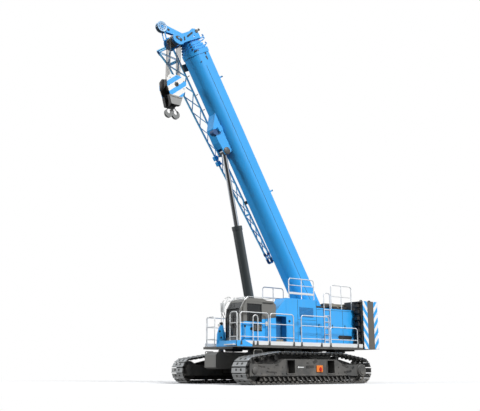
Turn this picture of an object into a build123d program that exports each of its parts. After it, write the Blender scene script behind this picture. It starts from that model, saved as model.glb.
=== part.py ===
from build123d import *
import os
from math import acos, atan2, cos, hypot, pi, radians, sin

# Telescopic boom crawler crane, parked on level ground with its boom raised.
# Millimetres. X is forward, Y is to the crane's left, Z is up, and z = 0 is the ground.
# Lengths below are measured from the slewing axis, which stands at x = SLEW_X.

os.makedirs("parts", exist_ok=True)

# Clearances
RUN = 0.3            # a pin in its bore, a rod in its gland
SLIDE_GAP = 0.5      # a wear pad and the section it guides
MOVE_GAP = 10.0      # between pieces that pass each other

# Tracks
TRACK_GAUGE = 3860.0
SHOE_WIDTH = 780.0
TRACK_LENGTH = 6160.0
IDLER_BELT_R = 480.0      # outside of the shoes round the idler
SPROCKET_BELT_R = 480.0   # outside of the shoes round the sprocket
CARRIER_X = 1500.0        # bends of the upper run, front and rear of the axis
CARRIER_BELT_R = 330.0
TRACK_TOP = 1126.0
BELT_THICK = 120.0
SHOE_COUNT = 62
SHOE_SLOT = 26.0          # open joint between shoes
SHOE_SLOT_DEPTH = 46.0
LUG_HEIGHT = 22.0
LUG_WIDTH = 34.0

# Track side frames
FRAME_HALF_W = 300.0
FRAME_BOTTOM = 285.0
FRAME_LOW_TOP = 690.0
FRAME_HIGH_TOP = 870.0
FRAME_REACH = 2820.0
FRAME_STEP_X = (1270.0, 1620.0)
FORK_SLOT_HALF_W = 170.0
FORK_SLOT_X = 2150.0
BEAM_LENGTH_X = 340.0     # crossbeams, at both ends of the carbody
BEAM_BOTTOM = 380.0
BEAM_HEIGHT = 440.0
BEAM_HALF_Y = 1950.0
OPENING_GAP = 14.0

# Wheels in the track
WHEEL_HALF_W = 110.0
AXLE_R = 55.0
TEETH = 20
TOOTH_NOTCH_R = 36.0
ROLLER_R = 85.0
ROLLER_HALF_W = 140.0
ROLLER_COUNT = 9
ROLLER_PITCH = 440.0
CARRIER_R = 80.0
CARRIER_HALF_W = 120.0
DRIVE_R = 235.0
DRIVE_OUT = 60.0

# Carbody and slewing ring
CARBODY_LENGTH = 2300.0
CARBODY_WIDTH = 1900.0
CARBODY_BOTTOM = 480.0
CARBODY_TOP = 1040.0
BEAM_X = CARBODY_LENGTH / 2 - BEAM_LENGTH_X / 2
RING_R = 950.0
RING_BORE_R = 700.0
RING_BASE_TOP = 1140.0
RING_TOP = 1250.0
BALLAST_REACH = 2880.0
BALLAST_HALF_W = 350.0
BALLAST_BOTTOM = 530.0
BALLAST_TOP = 1130.0
BALLAST_CHAMFER = 110.0
LUG_PLATE_T = 40.0        # tie-down lugs under the ballast noses
LUG_HOLE_R = 32.0
LUG_HALF_W = 75.0
LUG_HOLE_Z = 442.5

# Upper frame
FLOOR_T = 50.0
DECK_BOTTOM = 1300.0
DECK_TOP = 1360.0
DECK_HALF_Y = 1588.0
DECK_FRONT = 2900.0
RIGHT_DECK_FRONT = 2100.0
DECK_REAR = -3450.0
EDGE_BEAM_W = 60.0
EDGE_BEAM_DROP = 30.0
TOE_T = 20.0
TOE_TOP = 1500.0
PLATE_IN = 440.0          # inner face of the upper frame's side plates
PLATE_OUT = 500.0
FRAME_FRONT = 2250.0
FRAME_REAR = -4120.0
FLOOR_FRONT = 1000.0
NOSE_TOP = 1450.0
CROSS_T = 60.0

# Boom
LUFF_ANGLE = 59.25        # boom angle as it stands
BOOM_FOOT = (-2050.0, 2650.0)
BOOM_HALF_W = 410.0
BOOM_ABOVE = 445.0
BOOM_BELOW = 405.0
BOOM_SEAM = 50.0
BELLY_HALF_W = 150.0
SHOULDER = (338.0, -250.0)
BOOM_WALL = 16.0
FOOT_PIN_R = 60.0
FOOT_BOSS_R = 160.0
BOOM_TAIL = -300.0
SECTION_STEP = 36.0       # each section's outside lies this far inside the one before
INNER_WALL = 14.0
COLLAR_PROUD = 22.0
BASE_END = 11600.0

# Luffing cylinder: foot on the upper frame, eye below the boom
CYL_FOOT = (730.0, 1600.0)
CYL_EYE_ALONG = 7551.0
CYL_EYE_BELOW = 602.0
BARREL_R = 190.0
BARREL_LENGTH = 4430.0
GLAND_R = 205.0
GLAND_LENGTH = 160.0
ROD_R = 100.0
ROD_HIDDEN = 1390.0       # rod inside the barrel as it stands
BARREL_BLIND = 390.0
FOOT_EYE_R = 165.0
EYE_R = 130.0
EYE_HALF_W = 140.0
EYE_PIN_R = 55.0
CHEEK_T = 70.0
BARREL_SIDE_GAP = 15.0

# Head and hook
HEAD_SHEAVE_AT = (12237.0, -629.0)
SHEAVE_R = 210.0
SHEAVE_T = 46.0
SHEAVE_YS = (-135.0, -45.0, 45.0, 135.0)
HEAD_PLATE_IN = 320.0
HEAD_PLATE_OUT = 360.0
TOP_SHEAVE_AT = (12290.0, 330.0)
TOP_SHEAVE_R = 150.0
ROOSTER_AT = (12885.0, -917.0)
ROOSTER_R = 200.0
PIN_R = 40.0
JIB_PIN_AT = (12130.0, 120.0)
JIB_PIN_R = 30.0
BLOCK_Z = 10960.0
CHEEK_Y = 290.0
BLOCK_CHEEK_T = 30.0
ROPE_R = 14.0
HOOK_SHANK_R = 55.0
HOOK_TOP = 10220.0
HOOK_BOTTOM = 9680.0
HOOK_HALF_T = 45.0
BOWL_R = 165.0            # outside of each horn
BOWL_X = 155.0
THROAT_R = 90.0           # room for a sling in each horn
THROAT_AT = (150.0, 9930.0)
CROSSHEAD_HALF = 130.0
WEIGHT_GAP_HALF = 120.0

# Cab
CAB_REAR = 950.0
CAB_FRONT = 2600.0
CAB_IN = 560.0
CAB_OUT = 1420.0
CAB_TOP = 3020.0
CAB_WALL = 40.0
GLASS_T = 8.0
SILL_FRONT = 1620.0
DOOR_FRONT = 2500.0
DOOR_REAR = 1620.0
DOOR_BOTTOM = 1450.0
DOOR_TOP = 2880.0
DOOR_T = 40.0
DOOR_GAP = 6.0
DOOR_FRAME = 90.0
RUNNER_T = 38.0

# Housings
HOUSE_IN = 560.0
LEFT_HOUSE_OUT = 1200.0
LEFT_HOUSE_FRONT = 260.0
LEFT_HOUSE_REAR = -1308.0
LEFT_HOUSE_TOP = 3150.0
HOOD_REAR = -3450.0
HOOD_TOP = 2860.0
HOUSE_WALL = 30.0
RIGHT_HOUSE_OUT = 1500.0
RIGHT_HOUSE_FRONT = 300.0
HATCH_FRONT = -300.0
HATCH_REAR = -1250.0
HATCH_BOTTOM = 1540.0
HATCH_TOP = 2760.0
HATCH_T = 36.0
ENGINE_FRONT = -250.0
ENGINE_REAR = -1550.0
ENGINE_TOP = 2400.0

# Counterweight
CW_FRONT = -3540.0
CW_REAR = -4450.0
CW_BOTTOM = 1310.0
CW_TOP = 3230.0
CW_RECESS_HALF_Y = 560.0
CW_EDGE = 40.0

# Winches
DRUM_HALF_L = 360.0
DRUM_FLANGE_R = 335.0
DRUM_BARREL_R = 255.0
DRUM_FLANGE_T = 25.0
DRUM_AXLE_R = 60.0
WINCHES = (                # name, x, z of the axis
    ("main_winch_drum", -3020.0, 2860.0),
    ("rear_winch_drum", -3740.0, 2860.0),
)

# Rails
RAIL_R = 19.0
RAIL_TOP = 2510.0
RAIL_BEND = 110.0
RAIL_GAP = 1.0           # between the posts and the toe boards
RAIL_Y = DECK_HALF_Y - TOE_T - RAIL_R - RAIL_GAP

# Stowed fly jib, on the boom's right side
JIB_Y = -570.0            # its chord next to the boom
JIB_TILT = radians(50.9)  # its section leans outwards from the boom
CHORD_R = 38.0
LACE_R = 15.0
END_R = 30.0
JIB_STATIONS = (           # along the boom, first chord's height, depth, width, bays below it
    (12250.0, -360.0, 590.0, 430.0, 1),
    (11600.0, -325.0, 460.0, 420.0, 6),
    (7450.0, -275.0, 290.0, 260.0, 4),
    (4800.0, -215.0, 200.0, 180.0, 4),
    (2600.0, -145.0, 150.0, 140.0, 0),
)

# The origin is under the middle of the whole crane's box
ANGLE = radians(LUFF_ANGLE)
ROOSTER_X = BOOM_FOOT[0] + ROOSTER_AT[0] * cos(ANGLE) - ROOSTER_AT[1] * sin(ANGLE)
SLEW_X = -(ROOSTER_X + ROOSTER_R + CW_REAR) / 2

HALF_GAUGE = TRACK_GAUGE / 2
IDLER_X = TRACK_LENGTH / 2 - IDLER_BELT_R
SPROCKET_X = -(TRACK_LENGTH / 2 - SPROCKET_BELT_R)
SIDES = (("left", 1), ("right", -1))


def level(z):
    """Horizontal plane at height z, centred on the slewing axis."""
    return Plane(origin=(SLEW_X, 0, z), x_dir=(1, 0, 0), z_dir=(0, 0, 1))


def side(y):
    """Upright plane along the crane at y: local x is forward and local y is up."""
    return Plane(origin=(SLEW_X, y, 0), x_dir=(1, 0, 0), z_dir=(0, -1, 0))


def across(x):
    """Upright plane across the crane at x: local x is left and local y is up."""
    return Plane(origin=(SLEW_X + x, 0, 0), x_dir=(0, 1, 0), z_dir=(1, 0, 0))


def boom_side(y):
    """Plane along the boom at y: local x runs along the boom, local y towards its back."""
    origin = (SLEW_X + BOOM_FOOT[0], y, BOOM_FOOT[1])
    return Plane(origin=origin, x_dir=(cos(ANGLE), 0, sin(ANGLE)), z_dir=(0, -1, 0))


def boom_cross(along):
    """Plane across the boom at a distance from its foot: local y points to its back."""
    origin = (
        SLEW_X + BOOM_FOOT[0] + along * cos(ANGLE),
        0,
        BOOM_FOOT[1] + along * sin(ANGLE),
    )
    return Plane(origin=origin, x_dir=(0, 1, 0), z_dir=(cos(ANGLE), 0, sin(ANGLE)))


def boom_point(along, up, y=0.0):
    """A point given along the boom, above its axis and to the left."""
    return boom_side(y).from_local_coords((along, up, 0))


def save(builder, name):
    """Label a finished piece and write it."""
    builder.part.label = name
    export_step(builder.part, f"parts/{name}.step")


def slab(plane, points, thickness, both=False, mode=Mode.ADD):
    """Extrude a polygon from its plane."""
    with BuildSketch(plane) as outline:
        with BuildLine():
            Polyline(*points, close=True)
        make_face()
    extrude(outline.sketch, amount=thickness, both=both, mode=mode)


def disc(plane, centre, radius, thickness, both=False, mode=Mode.ADD):
    """Extrude a circle from its plane."""
    with BuildSketch(plane) as circle:
        with Locations(centre):
            Circle(radius)
    extrude(circle.sketch, amount=thickness, both=both, mode=mode)


def bar(start, end, radius):
    """A loose round bar between two points."""
    start, end = Vector(start), Vector(end)
    return Solid.make_cylinder(radius, (end - start).length, Plane(origin=start, z_dir=end - start))


def strut(start, end, radius):
    """A round bar between two points, joined to the piece."""
    add(bar(start, end, radius))


def box(x, y, z, mode=Mode.ADD):
    """A block from (low, high) pairs measured from the slewing axis."""
    size = (abs(x[1] - x[0]), abs(y[1] - y[0]), abs(z[1] - z[0]))
    with Locations((SLEW_X + sum(x) / 2, sum(y) / 2, sum(z) / 2)):
        Box(*size, mode=mode)


# Track belt: the outline runs round four circles, counter-clockwise from the idler
def belt_circles(inset):
    """Circles that the belt bends round, with their radii reduced by inset."""
    carrier_z = TRACK_TOP - CARRIER_BELT_R
    return (
        (IDLER_X, IDLER_BELT_R, IDLER_BELT_R - inset),
        (CARRIER_X, carrier_z, CARRIER_BELT_R - inset),
        (-CARRIER_X, carrier_z, CARRIER_BELT_R - inset),
        (SPROCKET_X, SPROCKET_BELT_R, SPROCKET_BELT_R - inset),
    )


def belt_normals():
    """Angle of the outward normal on each straight run, the run after each circle."""
    circles = belt_circles(0)
    angles = []
    for index, (x, z, r) in enumerate(circles):
        x2, z2, r2 = circles[(index + 1) % len(circles)]
        run = atan2(z2 - z, x2 - x)
        angles.append(run - acos((r - r2) / hypot(x2 - x, z2 - z)))
    return angles


def on_circle(circle, angle):
    """Point on a belt circle."""
    x, z, r = circle
    return (x + r * cos(angle), z + r * sin(angle))


def belt_stretches():
    """Arcs and runs in order: kind, circle index, start angle, length."""
    circles = belt_circles(0)
    normals = belt_normals()
    stretches = []
    for index, circle in enumerate(circles):
        start = normals[index - 1]
        turn = (normals[index] - start) % (2 * pi)
        stretches.append(("arc", index, start, turn * circle[2]))
        leave = on_circle(circle, normals[index])
        arrive = on_circle(circles[(index + 1) % len(circles)], normals[index])
        length = hypot(arrive[0] - leave[0], arrive[1] - leave[1])
        stretches.append(("run", index, normals[index], length))
    return stretches


def belt_point(travel, depth):
    """Point at a distance along the belt's outside, depth below its surface."""
    circles = belt_circles(0)
    stretches = belt_stretches()
    travel = travel % sum(row[3] for row in stretches)
    for kind, index, angle, length in stretches:
        if travel <= length:
            break
        travel -= length
    x, z, r = circles[index]
    if kind == "arc":
        turned = angle + travel / r
        return (x + (r - depth) * cos(turned), z + (r - depth) * sin(turned))
    start = on_circle((x, z, r - depth), angle)
    return (start[0] - travel * sin(angle), start[1] + travel * cos(angle))


def shoe_outline():
    """Corners of the shoes and their lugs all the way round."""
    total = sum(row[3] for row in belt_stretches())
    pitch = total / SHOE_COUNT
    corners = []
    for shoe in range(SHOE_COUNT):
        start = shoe * pitch + SHOE_SLOT / 2
        end = (shoe + 1) * pitch - SHOE_SLOT / 2
        for travel, depth in (
            (start, SHOE_SLOT_DEPTH),
            (start, 0),
            (start + LUG_WIDTH, 0),
            (start + LUG_WIDTH, LUG_HEIGHT),
            (end, LUG_HEIGHT),
            (end, SHOE_SLOT_DEPTH),
        ):
            corners.append(belt_point(travel, depth))
    return corners


def belt_inside():
    """Draw the inside of the belt as lines and arcs."""
    circles = belt_circles(BELT_THICK)
    normals = belt_normals()
    for index, circle in enumerate(circles):
        start = normals[index - 1]
        turn = (normals[index] - start) % (2 * pi)
        first = on_circle(circle, start)
        middle = on_circle(circle, start + turn / 2)
        last = on_circle(circle, start + turn)
        ThreePointArc(first, middle, last)
        Line(last, on_circle(circles[(index + 1) % len(circles)], normals[index]))


for name, sign in SIDES:
    with BuildPart() as track:
        with BuildSketch(side(sign * HALF_GAUGE)):
            with BuildLine():
                Polyline(*shoe_outline(), close=True)
            make_face()
            with BuildLine():
                belt_inside()
            make_face(mode=Mode.SUBTRACT)
        extrude(amount=SHOE_WIDTH / 2, both=True)
    save(track, f"{name}_track")

# Track side frames, forked at both ends, with an opening for each crossbeam
CARRIER_AXIS_Z = TRACK_TOP - BELT_THICK - CARRIER_R - RUN
FRAME_SIDE = (
    (FRAME_REACH, FRAME_BOTTOM),
    (FRAME_REACH, FRAME_LOW_TOP),
    (FRAME_STEP_X[1], FRAME_LOW_TOP),
    (FRAME_STEP_X[0], FRAME_HIGH_TOP),
    (-FRAME_STEP_X[0], FRAME_HIGH_TOP),
    (-FRAME_STEP_X[1], FRAME_LOW_TOP),
    (-FRAME_REACH, FRAME_LOW_TOP),
    (-FRAME_REACH, FRAME_BOTTOM),
)
ROLLER_Z = BELT_THICK + RUN + ROLLER_R
ROLLER_SLOT_TOP = ROLLER_Z + ROLLER_R + MOVE_GAP
ROLLER_XS = [ROLLER_PITCH * (i - (ROLLER_COUNT - 1) / 2) for i in range(ROLLER_COUNT)]
for name, sign in SIDES:
    centre_y = sign * HALF_GAUGE
    slot_y = (centre_y - FORK_SLOT_HALF_W, centre_y + FORK_SLOT_HALF_W)
    with BuildPart() as track_frame:
        slab(side(centre_y), FRAME_SIDE, FRAME_HALF_W, both=True)
        for end in (1, -1):
            fork_x = sorted((end * FORK_SLOT_X, end * (FRAME_REACH + MOVE_GAP)))
            box(fork_x, slot_y, (0, FRAME_HIGH_TOP), mode=Mode.SUBTRACT)
            beam_x = (end * BEAM_X - BEAM_LENGTH_X / 2 - OPENING_GAP,
                      end * BEAM_X + BEAM_LENGTH_X / 2 + OPENING_GAP)
            opening_z = (BEAM_BOTTOM, BEAM_BOTTOM + BEAM_HEIGHT + OPENING_GAP)
            frame_y = (centre_y - FRAME_HALF_W - 1, centre_y + FRAME_HALF_W + 1)
            box(beam_x, frame_y, opening_z, mode=Mode.SUBTRACT)
            bracket_x = (end * CARRIER_X - AXLE_R, end * CARRIER_X + AXLE_R)
            bracket_y = sorted((centre_y - sign * (CARRIER_HALF_W + 70),
                                centre_y - sign * (CARRIER_HALF_W + RUN)))
            box(bracket_x, bracket_y, (FRAME_LOW_TOP, CARRIER_AXIS_Z + AXLE_R))
        box((-FORK_SLOT_X, FORK_SLOT_X), slot_y, (0, ROLLER_SLOT_TOP), mode=Mode.SUBTRACT)
    save(track_frame, f"{name}_track_frame")

# Idlers, sprockets with their final drives, and rollers, as solids on both sides
with BuildPart() as idlers:
    for name, sign in SIDES:
        y = sign * HALF_GAUGE
        centre = (IDLER_X, IDLER_BELT_R)
        disc(side(y), centre, IDLER_BELT_R - BELT_THICK - RUN, WHEEL_HALF_W, both=True)
        disc(side(y), centre, AXLE_R * 2, FORK_SLOT_HALF_W, both=True)
save(idlers, "idlers")

with BuildPart() as sprockets:
    for name, sign in SIDES:
        y = sign * HALF_GAUGE
        centre = (SPROCKET_X, SPROCKET_BELT_R)
        tooth_r = SPROCKET_BELT_R - BELT_THICK - RUN
        with BuildSketch(side(y)):
            with Locations(centre):
                Circle(tooth_r)
                with PolarLocations(tooth_r + TOOTH_NOTCH_R / 3, TEETH):
                    Circle(TOOTH_NOTCH_R, mode=Mode.SUBTRACT)
        extrude(amount=WHEEL_HALF_W / 2, both=True)
        disc(side(y), centre, DRIVE_R, FORK_SLOT_HALF_W, both=True)
save(sprockets, "sprockets")

with BuildPart() as final_drives:
    for name, sign in SIDES:
        outer = sign * (HALF_GAUGE + FRAME_HALF_W)
        inner = sign * (HALF_GAUGE - FRAME_HALF_W)
        centre = (SPROCKET_X, SPROCKET_BELT_R)
        disc(side(outer), centre, DRIVE_R - 30, -sign * DRIVE_OUT)
        disc(side(outer + sign * DRIVE_OUT), centre, DRIVE_R - 90, -sign * DRIVE_OUT / 3)
        disc(side(inner), centre, DRIVE_R, sign * 2 * DRIVE_OUT)
save(final_drives, "final_drives")

with BuildPart() as track_rollers:
    for name, sign in SIDES:
        y = sign * HALF_GAUGE
        for x in ROLLER_XS:
            disc(side(y), (x, ROLLER_Z), ROLLER_R, ROLLER_HALF_W, both=True)
            disc(side(y), (x, ROLLER_Z), AXLE_R * 0.6, FORK_SLOT_HALF_W, both=True)
        for end in (1, -1):
            place = (end * CARRIER_X, CARRIER_AXIS_Z)
            disc(side(y), place, CARRIER_R, CARRIER_HALF_W, both=True)
save(track_rollers, "track_rollers")

# Carbody: a box that rests on two crossbeams and carries the pedestal of the slewing ring
BEAM_TOP = BEAM_BOTTOM + BEAM_HEIGHT
BEAM_INNER = BEAM_X - BEAM_LENGTH_X / 2
with BuildPart() as carbody:
    half_x, half_y = CARBODY_LENGTH / 2, CARBODY_WIDTH / 2
    box((-half_x, half_x), (-half_y, half_y), (BEAM_TOP, CARBODY_TOP))
    box((-BEAM_INNER, BEAM_INNER), (-half_y, half_y), (CARBODY_BOTTOM, CARBODY_TOP))
    with BuildSketch(level(CARBODY_TOP)):
        Circle(RING_R)
        Circle(RING_BORE_R, mode=Mode.SUBTRACT)
    extrude(amount=RING_BASE_TOP - CARBODY_TOP)
save(carbody, "carbody")

with BuildPart() as crossbeams:
    for end in (1, -1):
        beam_x = (end * BEAM_X - BEAM_LENGTH_X / 2, end * BEAM_X + BEAM_LENGTH_X / 2)
        box(beam_x, (-BEAM_HALF_Y, BEAM_HALF_Y), (BEAM_BOTTOM, BEAM_TOP))
save(crossbeams, "crossbeams")

LUG_TOP = CARBODY_BOTTOM + LUG_PLATE_T
LUG_BOTTOM = LUG_HOLE_Z - LUG_HALF_W
LUG_SIDE = (               # out from the crossbeam, up from the ground
    (0.0, CARBODY_BOTTOM), (0.0, LUG_TOP), (2 * LUG_PLATE_T, LUG_TOP),
    (2 * LUG_PLATE_T, LUG_BOTTOM), (LUG_PLATE_T, LUG_BOTTOM), (LUG_PLATE_T, CARBODY_BOTTOM),
)
with BuildPart() as tie_down_lugs:
    for end in (1, -1):
        for lug_y in (-BALLAST_HALF_W / 2, BALLAST_HALF_W / 2):
            corners = [(end * (CARBODY_LENGTH / 2 + out), z) for out, z in LUG_SIDE]
            slab(side(lug_y), corners, LUG_HALF_W, both=True)
            face = across(end * CARBODY_LENGTH / 2)
            reach = end * 3 * LUG_PLATE_T
            disc(face, (lug_y, LUG_HOLE_Z), LUG_HOLE_R, reach, mode=Mode.SUBTRACT)
save(tie_down_lugs, "tie_down_lugs")

with BuildPart() as slew_ring:
    with BuildSketch(level(RING_BASE_TOP + RUN)):
        Circle(RING_R - 40)
        Circle(RING_BORE_R - 40, mode=Mode.SUBTRACT)
    extrude(amount=RING_TOP - RING_BASE_TOP - RUN)
save(slew_ring, "slew_ring")

BALLAST_SIDE = (
    (CARBODY_LENGTH / 2, BALLAST_BOTTOM),
    (BALLAST_REACH - BALLAST_CHAMFER, BALLAST_BOTTOM),
    (BALLAST_REACH, BALLAST_BOTTOM + BALLAST_CHAMFER / 2),
    (BALLAST_REACH, BALLAST_TOP - BALLAST_CHAMFER),
    (BALLAST_REACH - BALLAST_CHAMFER, BALLAST_TOP),
    (CARBODY_LENGTH / 2, BALLAST_TOP),
)
with BuildPart() as central_ballast:
    slab(side(0), BALLAST_SIDE, BALLAST_HALF_W, both=True)
    mirror(about=Plane(origin=(SLEW_X, 0, 0), z_dir=(1, 0, 0)))
save(central_ballast, "central_ballast")

# Steps hooped over the front of each track frame
STEP_X = (1680.0, 2060.0)
STEP_TOP = 1205.0
with BuildPart() as track_steps:
    for name, sign in SIDES:
        y = sign * (HALF_GAUGE - SHOE_WIDTH / 2 - 2 * RAIL_R)
        low = FRAME_LOW_TOP - 60
        feet_y = sign * (HALF_GAUGE - FRAME_HALF_W)
        points = [
            (SLEW_X + STEP_X[0], feet_y, low),
            (SLEW_X + STEP_X[0], y, low),
            (SLEW_X + STEP_X[0], y, STEP_TOP - RAIL_R),
            (SLEW_X + STEP_X[1], y, STEP_TOP - RAIL_R),
            (SLEW_X + STEP_X[1], y, low),
            (SLEW_X + STEP_X[1], feet_y, low),
        ]
        with BuildLine() as hoop:
            FilletPolyline(*points, radius=RAIL_R * 2)
        with BuildSketch(Plane(origin=hoop.line @ 0, z_dir=hoop.line % 0)):
            Circle(RAIL_R * 0.8)
        sweep(path=hoop.line)
save(track_steps, "track_steps")

# Upper frame: side plates, floor over the ring, cross members, pins and bosses
FRAME_PLATE = (
    (FRAME_FRONT, RING_TOP + FLOOR_T),
    (FRAME_FRONT, 1620.0),
    (1300.0, 1720.0),
    (1050.0, 1950.0),
    (-600.0, 1950.0),
    (BOOM_FOOT[0] + 450, BOOM_FOOT[1] + 280),
    (BOOM_FOOT[0] - 350, BOOM_FOOT[1] + 280),
    (WINCHES[1][1] - 200, WINCHES[1][2] + 120),
    (FRAME_REAR, WINCHES[1][2] - 100),
    (FRAME_REAR, RING_TOP + FLOOR_T),
)
with BuildPart() as main_frame:
    for sign in (1, -1):
        slab(side(sign * PLATE_IN), FRAME_PLATE, -sign * (PLATE_OUT - PLATE_IN))
        disc(side(sign * PLATE_IN), CYL_FOOT, 150, sign * (PLATE_IN - BARREL_R - BARREL_SIDE_GAP))
    floor_z = (RING_TOP, RING_TOP + FLOOR_T)
    box((FRAME_REAR, FLOOR_FRONT), (-PLATE_OUT, PLATE_OUT), floor_z)
    box((FLOOR_FRONT, FRAME_FRONT), (-PLATE_OUT, -PLATE_IN), floor_z)
    box((FLOOR_FRONT, FRAME_FRONT), (PLATE_IN, PLATE_OUT), floor_z)
    box((FRAME_FRONT - CROSS_T, FRAME_FRONT), (-PLATE_IN, PLATE_IN), (RING_TOP, NOSE_TOP))
    disc(side(0), BOOM_FOOT, FOOT_PIN_R, PLATE_OUT + 40, both=True)
    for name, x, z in WINCHES:
        disc(side(0), (x, z), DRUM_AXLE_R + RUN, PLATE_OUT + 1, both=True, mode=Mode.SUBTRACT)
save(main_frame, "main_frame")

# Decks either side of the frame, with a white toe board along the edge
DECKS = (                  # name, side, front
    ("left_deck", 1, DECK_FRONT),
    ("right_deck", -1, RIGHT_DECK_FRONT),
)
for name, sign, front in DECKS:
    with BuildPart() as deck:
        deck_y = sorted((sign * PLATE_OUT, sign * DECK_HALF_Y))
        box((DECK_REAR, front), deck_y, (DECK_BOTTOM, DECK_TOP))
        edge_y = sorted((sign * (DECK_HALF_Y - EDGE_BEAM_W), sign * DECK_HALF_Y))
        edge_z = (DECK_BOTTOM - EDGE_BEAM_DROP, DECK_BOTTOM)
        box((DECK_REAR, front), edge_y, edge_z)
        box((front - EDGE_BEAM_W, front), deck_y, edge_z)
    save(deck, name)

with BuildPart() as toe_boards:
    for name, sign, front in DECKS:
        board_y = sorted((sign * (DECK_HALF_Y - TOE_T), sign * DECK_HALF_Y))
        box((DECK_REAR, front - 70), board_y, (DECK_TOP, TOE_TOP))
save(toe_boards, "toe_boards")


def rail_loop(points):
    """One bent tube through the points."""
    with BuildLine() as bent:
        FilletPolyline(*points, radius=RAIL_BEND)
    with BuildSketch(Plane(origin=bent.line @ 0, z_dir=bent.line % 0)) as tube:
        Circle(RAIL_R)
    sweep(tube.sketch, path=bent.line)


def guard_rail(start, end, foot, top, bars, posts):
    """A rail between two plan points, with level bars and upright posts between."""
    (x1, y1), (x2, y2) = start, end
    ends = [(SLEW_X + x1, y1), (SLEW_X + x2, y2)]
    corners = [(*ends[0], foot), (*ends[0], top - RAIL_R)]
    corners += [(*ends[1], top - RAIL_R), (*ends[1], foot)]
    rail_loop(corners)
    for z in bars:
        strut((*ends[0], z), (*ends[1], z), RAIL_R * 0.8)
    for post in range(1, posts + 1):
        share = post / (posts + 1)
        x = ends[0][0] + share * (ends[1][0] - ends[0][0])
        y = ends[0][1] + share * (ends[1][1] - ends[0][1])
        strut((x, y, foot), (x, y, top - RAIL_R), RAIL_R * 0.9)


DECK_BARS = (1640.0, 2110.0)
DECK_RAILS = (             # start x y, end x y, top z, level bars, posts
    ((2790.0, 1080.0), (2790.0, 1490.0), RAIL_TOP, DECK_BARS, 0),
    ((2700.0, RAIL_Y), (1420.0, RAIL_Y), RAIL_TOP, DECK_BARS, 0),
    ((2130.0, RAIL_Y), (1910.0, RAIL_Y), RAIL_TOP - 90.0, (), 0),
    ((1340.0, RAIL_Y), (210.0, RAIL_Y), RAIL_TOP, DECK_BARS, 0),
    ((-180.0, RAIL_Y), (-1620.0, RAIL_Y), RAIL_TOP, DECK_BARS, 0),
    ((-1700.0, RAIL_Y), (-3200.0, RAIL_Y), DECK_BARS[1] + RAIL_R, (DECK_BARS[0],), 0),
    ((2030.0, -940.0), (2030.0, -1480.0), RAIL_TOP, DECK_BARS, 0),
    ((1950.0, -RAIL_Y), (420.0, -RAIL_Y), RAIL_TOP, DECK_BARS, 1),
)
ROOF_RAILS = (             # start x y, end x y, foot z, top z, bars, posts
    ((60.0, 1150.0), (-1240.0, 1150.0), LEFT_HOUSE_TOP, 3940.0, (3370.0, 3660.0), 1),
    ((-2200.0, 1130.0), (-3360.0, 1130.0), HOOD_TOP, 3840.0, (3370.0,), 1),
    ((-370.0, -950.0), (-1480.0, -950.0), HOOD_TOP, 3830.0, (3390.0,), 1),
    ((-2200.0, -1400.0), (-3360.0, -1400.0), HOOD_TOP, 3830.0, (3390.0,), 1),
)
with BuildPart() as guard_rails:
    for start, end, top, bars, posts in DECK_RAILS:
        guard_rail(start, end, DECK_TOP, top, bars, posts)
    for row in ROOF_RAILS:
        guard_rail(*row)
save(guard_rails, "guard_rails")

# Ladder from the left deck to the hood
LADDER_X = (-2040.0, -1710.0)
LADDER_Y = LEFT_HOUSE_OUT + RAIL_R + RUN
LADDER_TOP = 3480.0
LADDER_RUNGS = 6
with BuildPart() as ladder:
    guard_rail((LADDER_X[0], LADDER_Y), (LADDER_X[1], LADDER_Y), DECK_TOP, LADDER_TOP, (), 0)
    for rung in range(LADDER_RUNGS):
        z = DECK_TOP + 250 + rung * 240
        strut((SLEW_X + LADDER_X[0], LADDER_Y, z), (SLEW_X + LADDER_X[1], LADDER_Y, z), 14)
save(ladder, "ladder")


# Cab: one folded shell with its windows cut, panes in the cut-outs, a sliding door
def cab_profile(inset):
    """Side view of the cab, inset all round."""
    with BuildLine() as outline:
        Polyline(
            (CAB_REAR + inset, DECK_TOP + inset),
            (CAB_FRONT - inset, DECK_TOP + inset),
            (CAB_FRONT + 20 - inset, 2330),
            (2575 - inset, 2620),
            (2380 - inset * 0.7, 2930 - inset * 0.7),
            (2160, CAB_TOP - inset),
            (1560, CAB_TOP - inset),
            (1380, 2960 - inset),
            (CAB_REAR + 130, 2950 - inset),
            (CAB_REAR + inset, 2830),
            close=True,
        )
    make_face(outline.edges())


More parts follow.
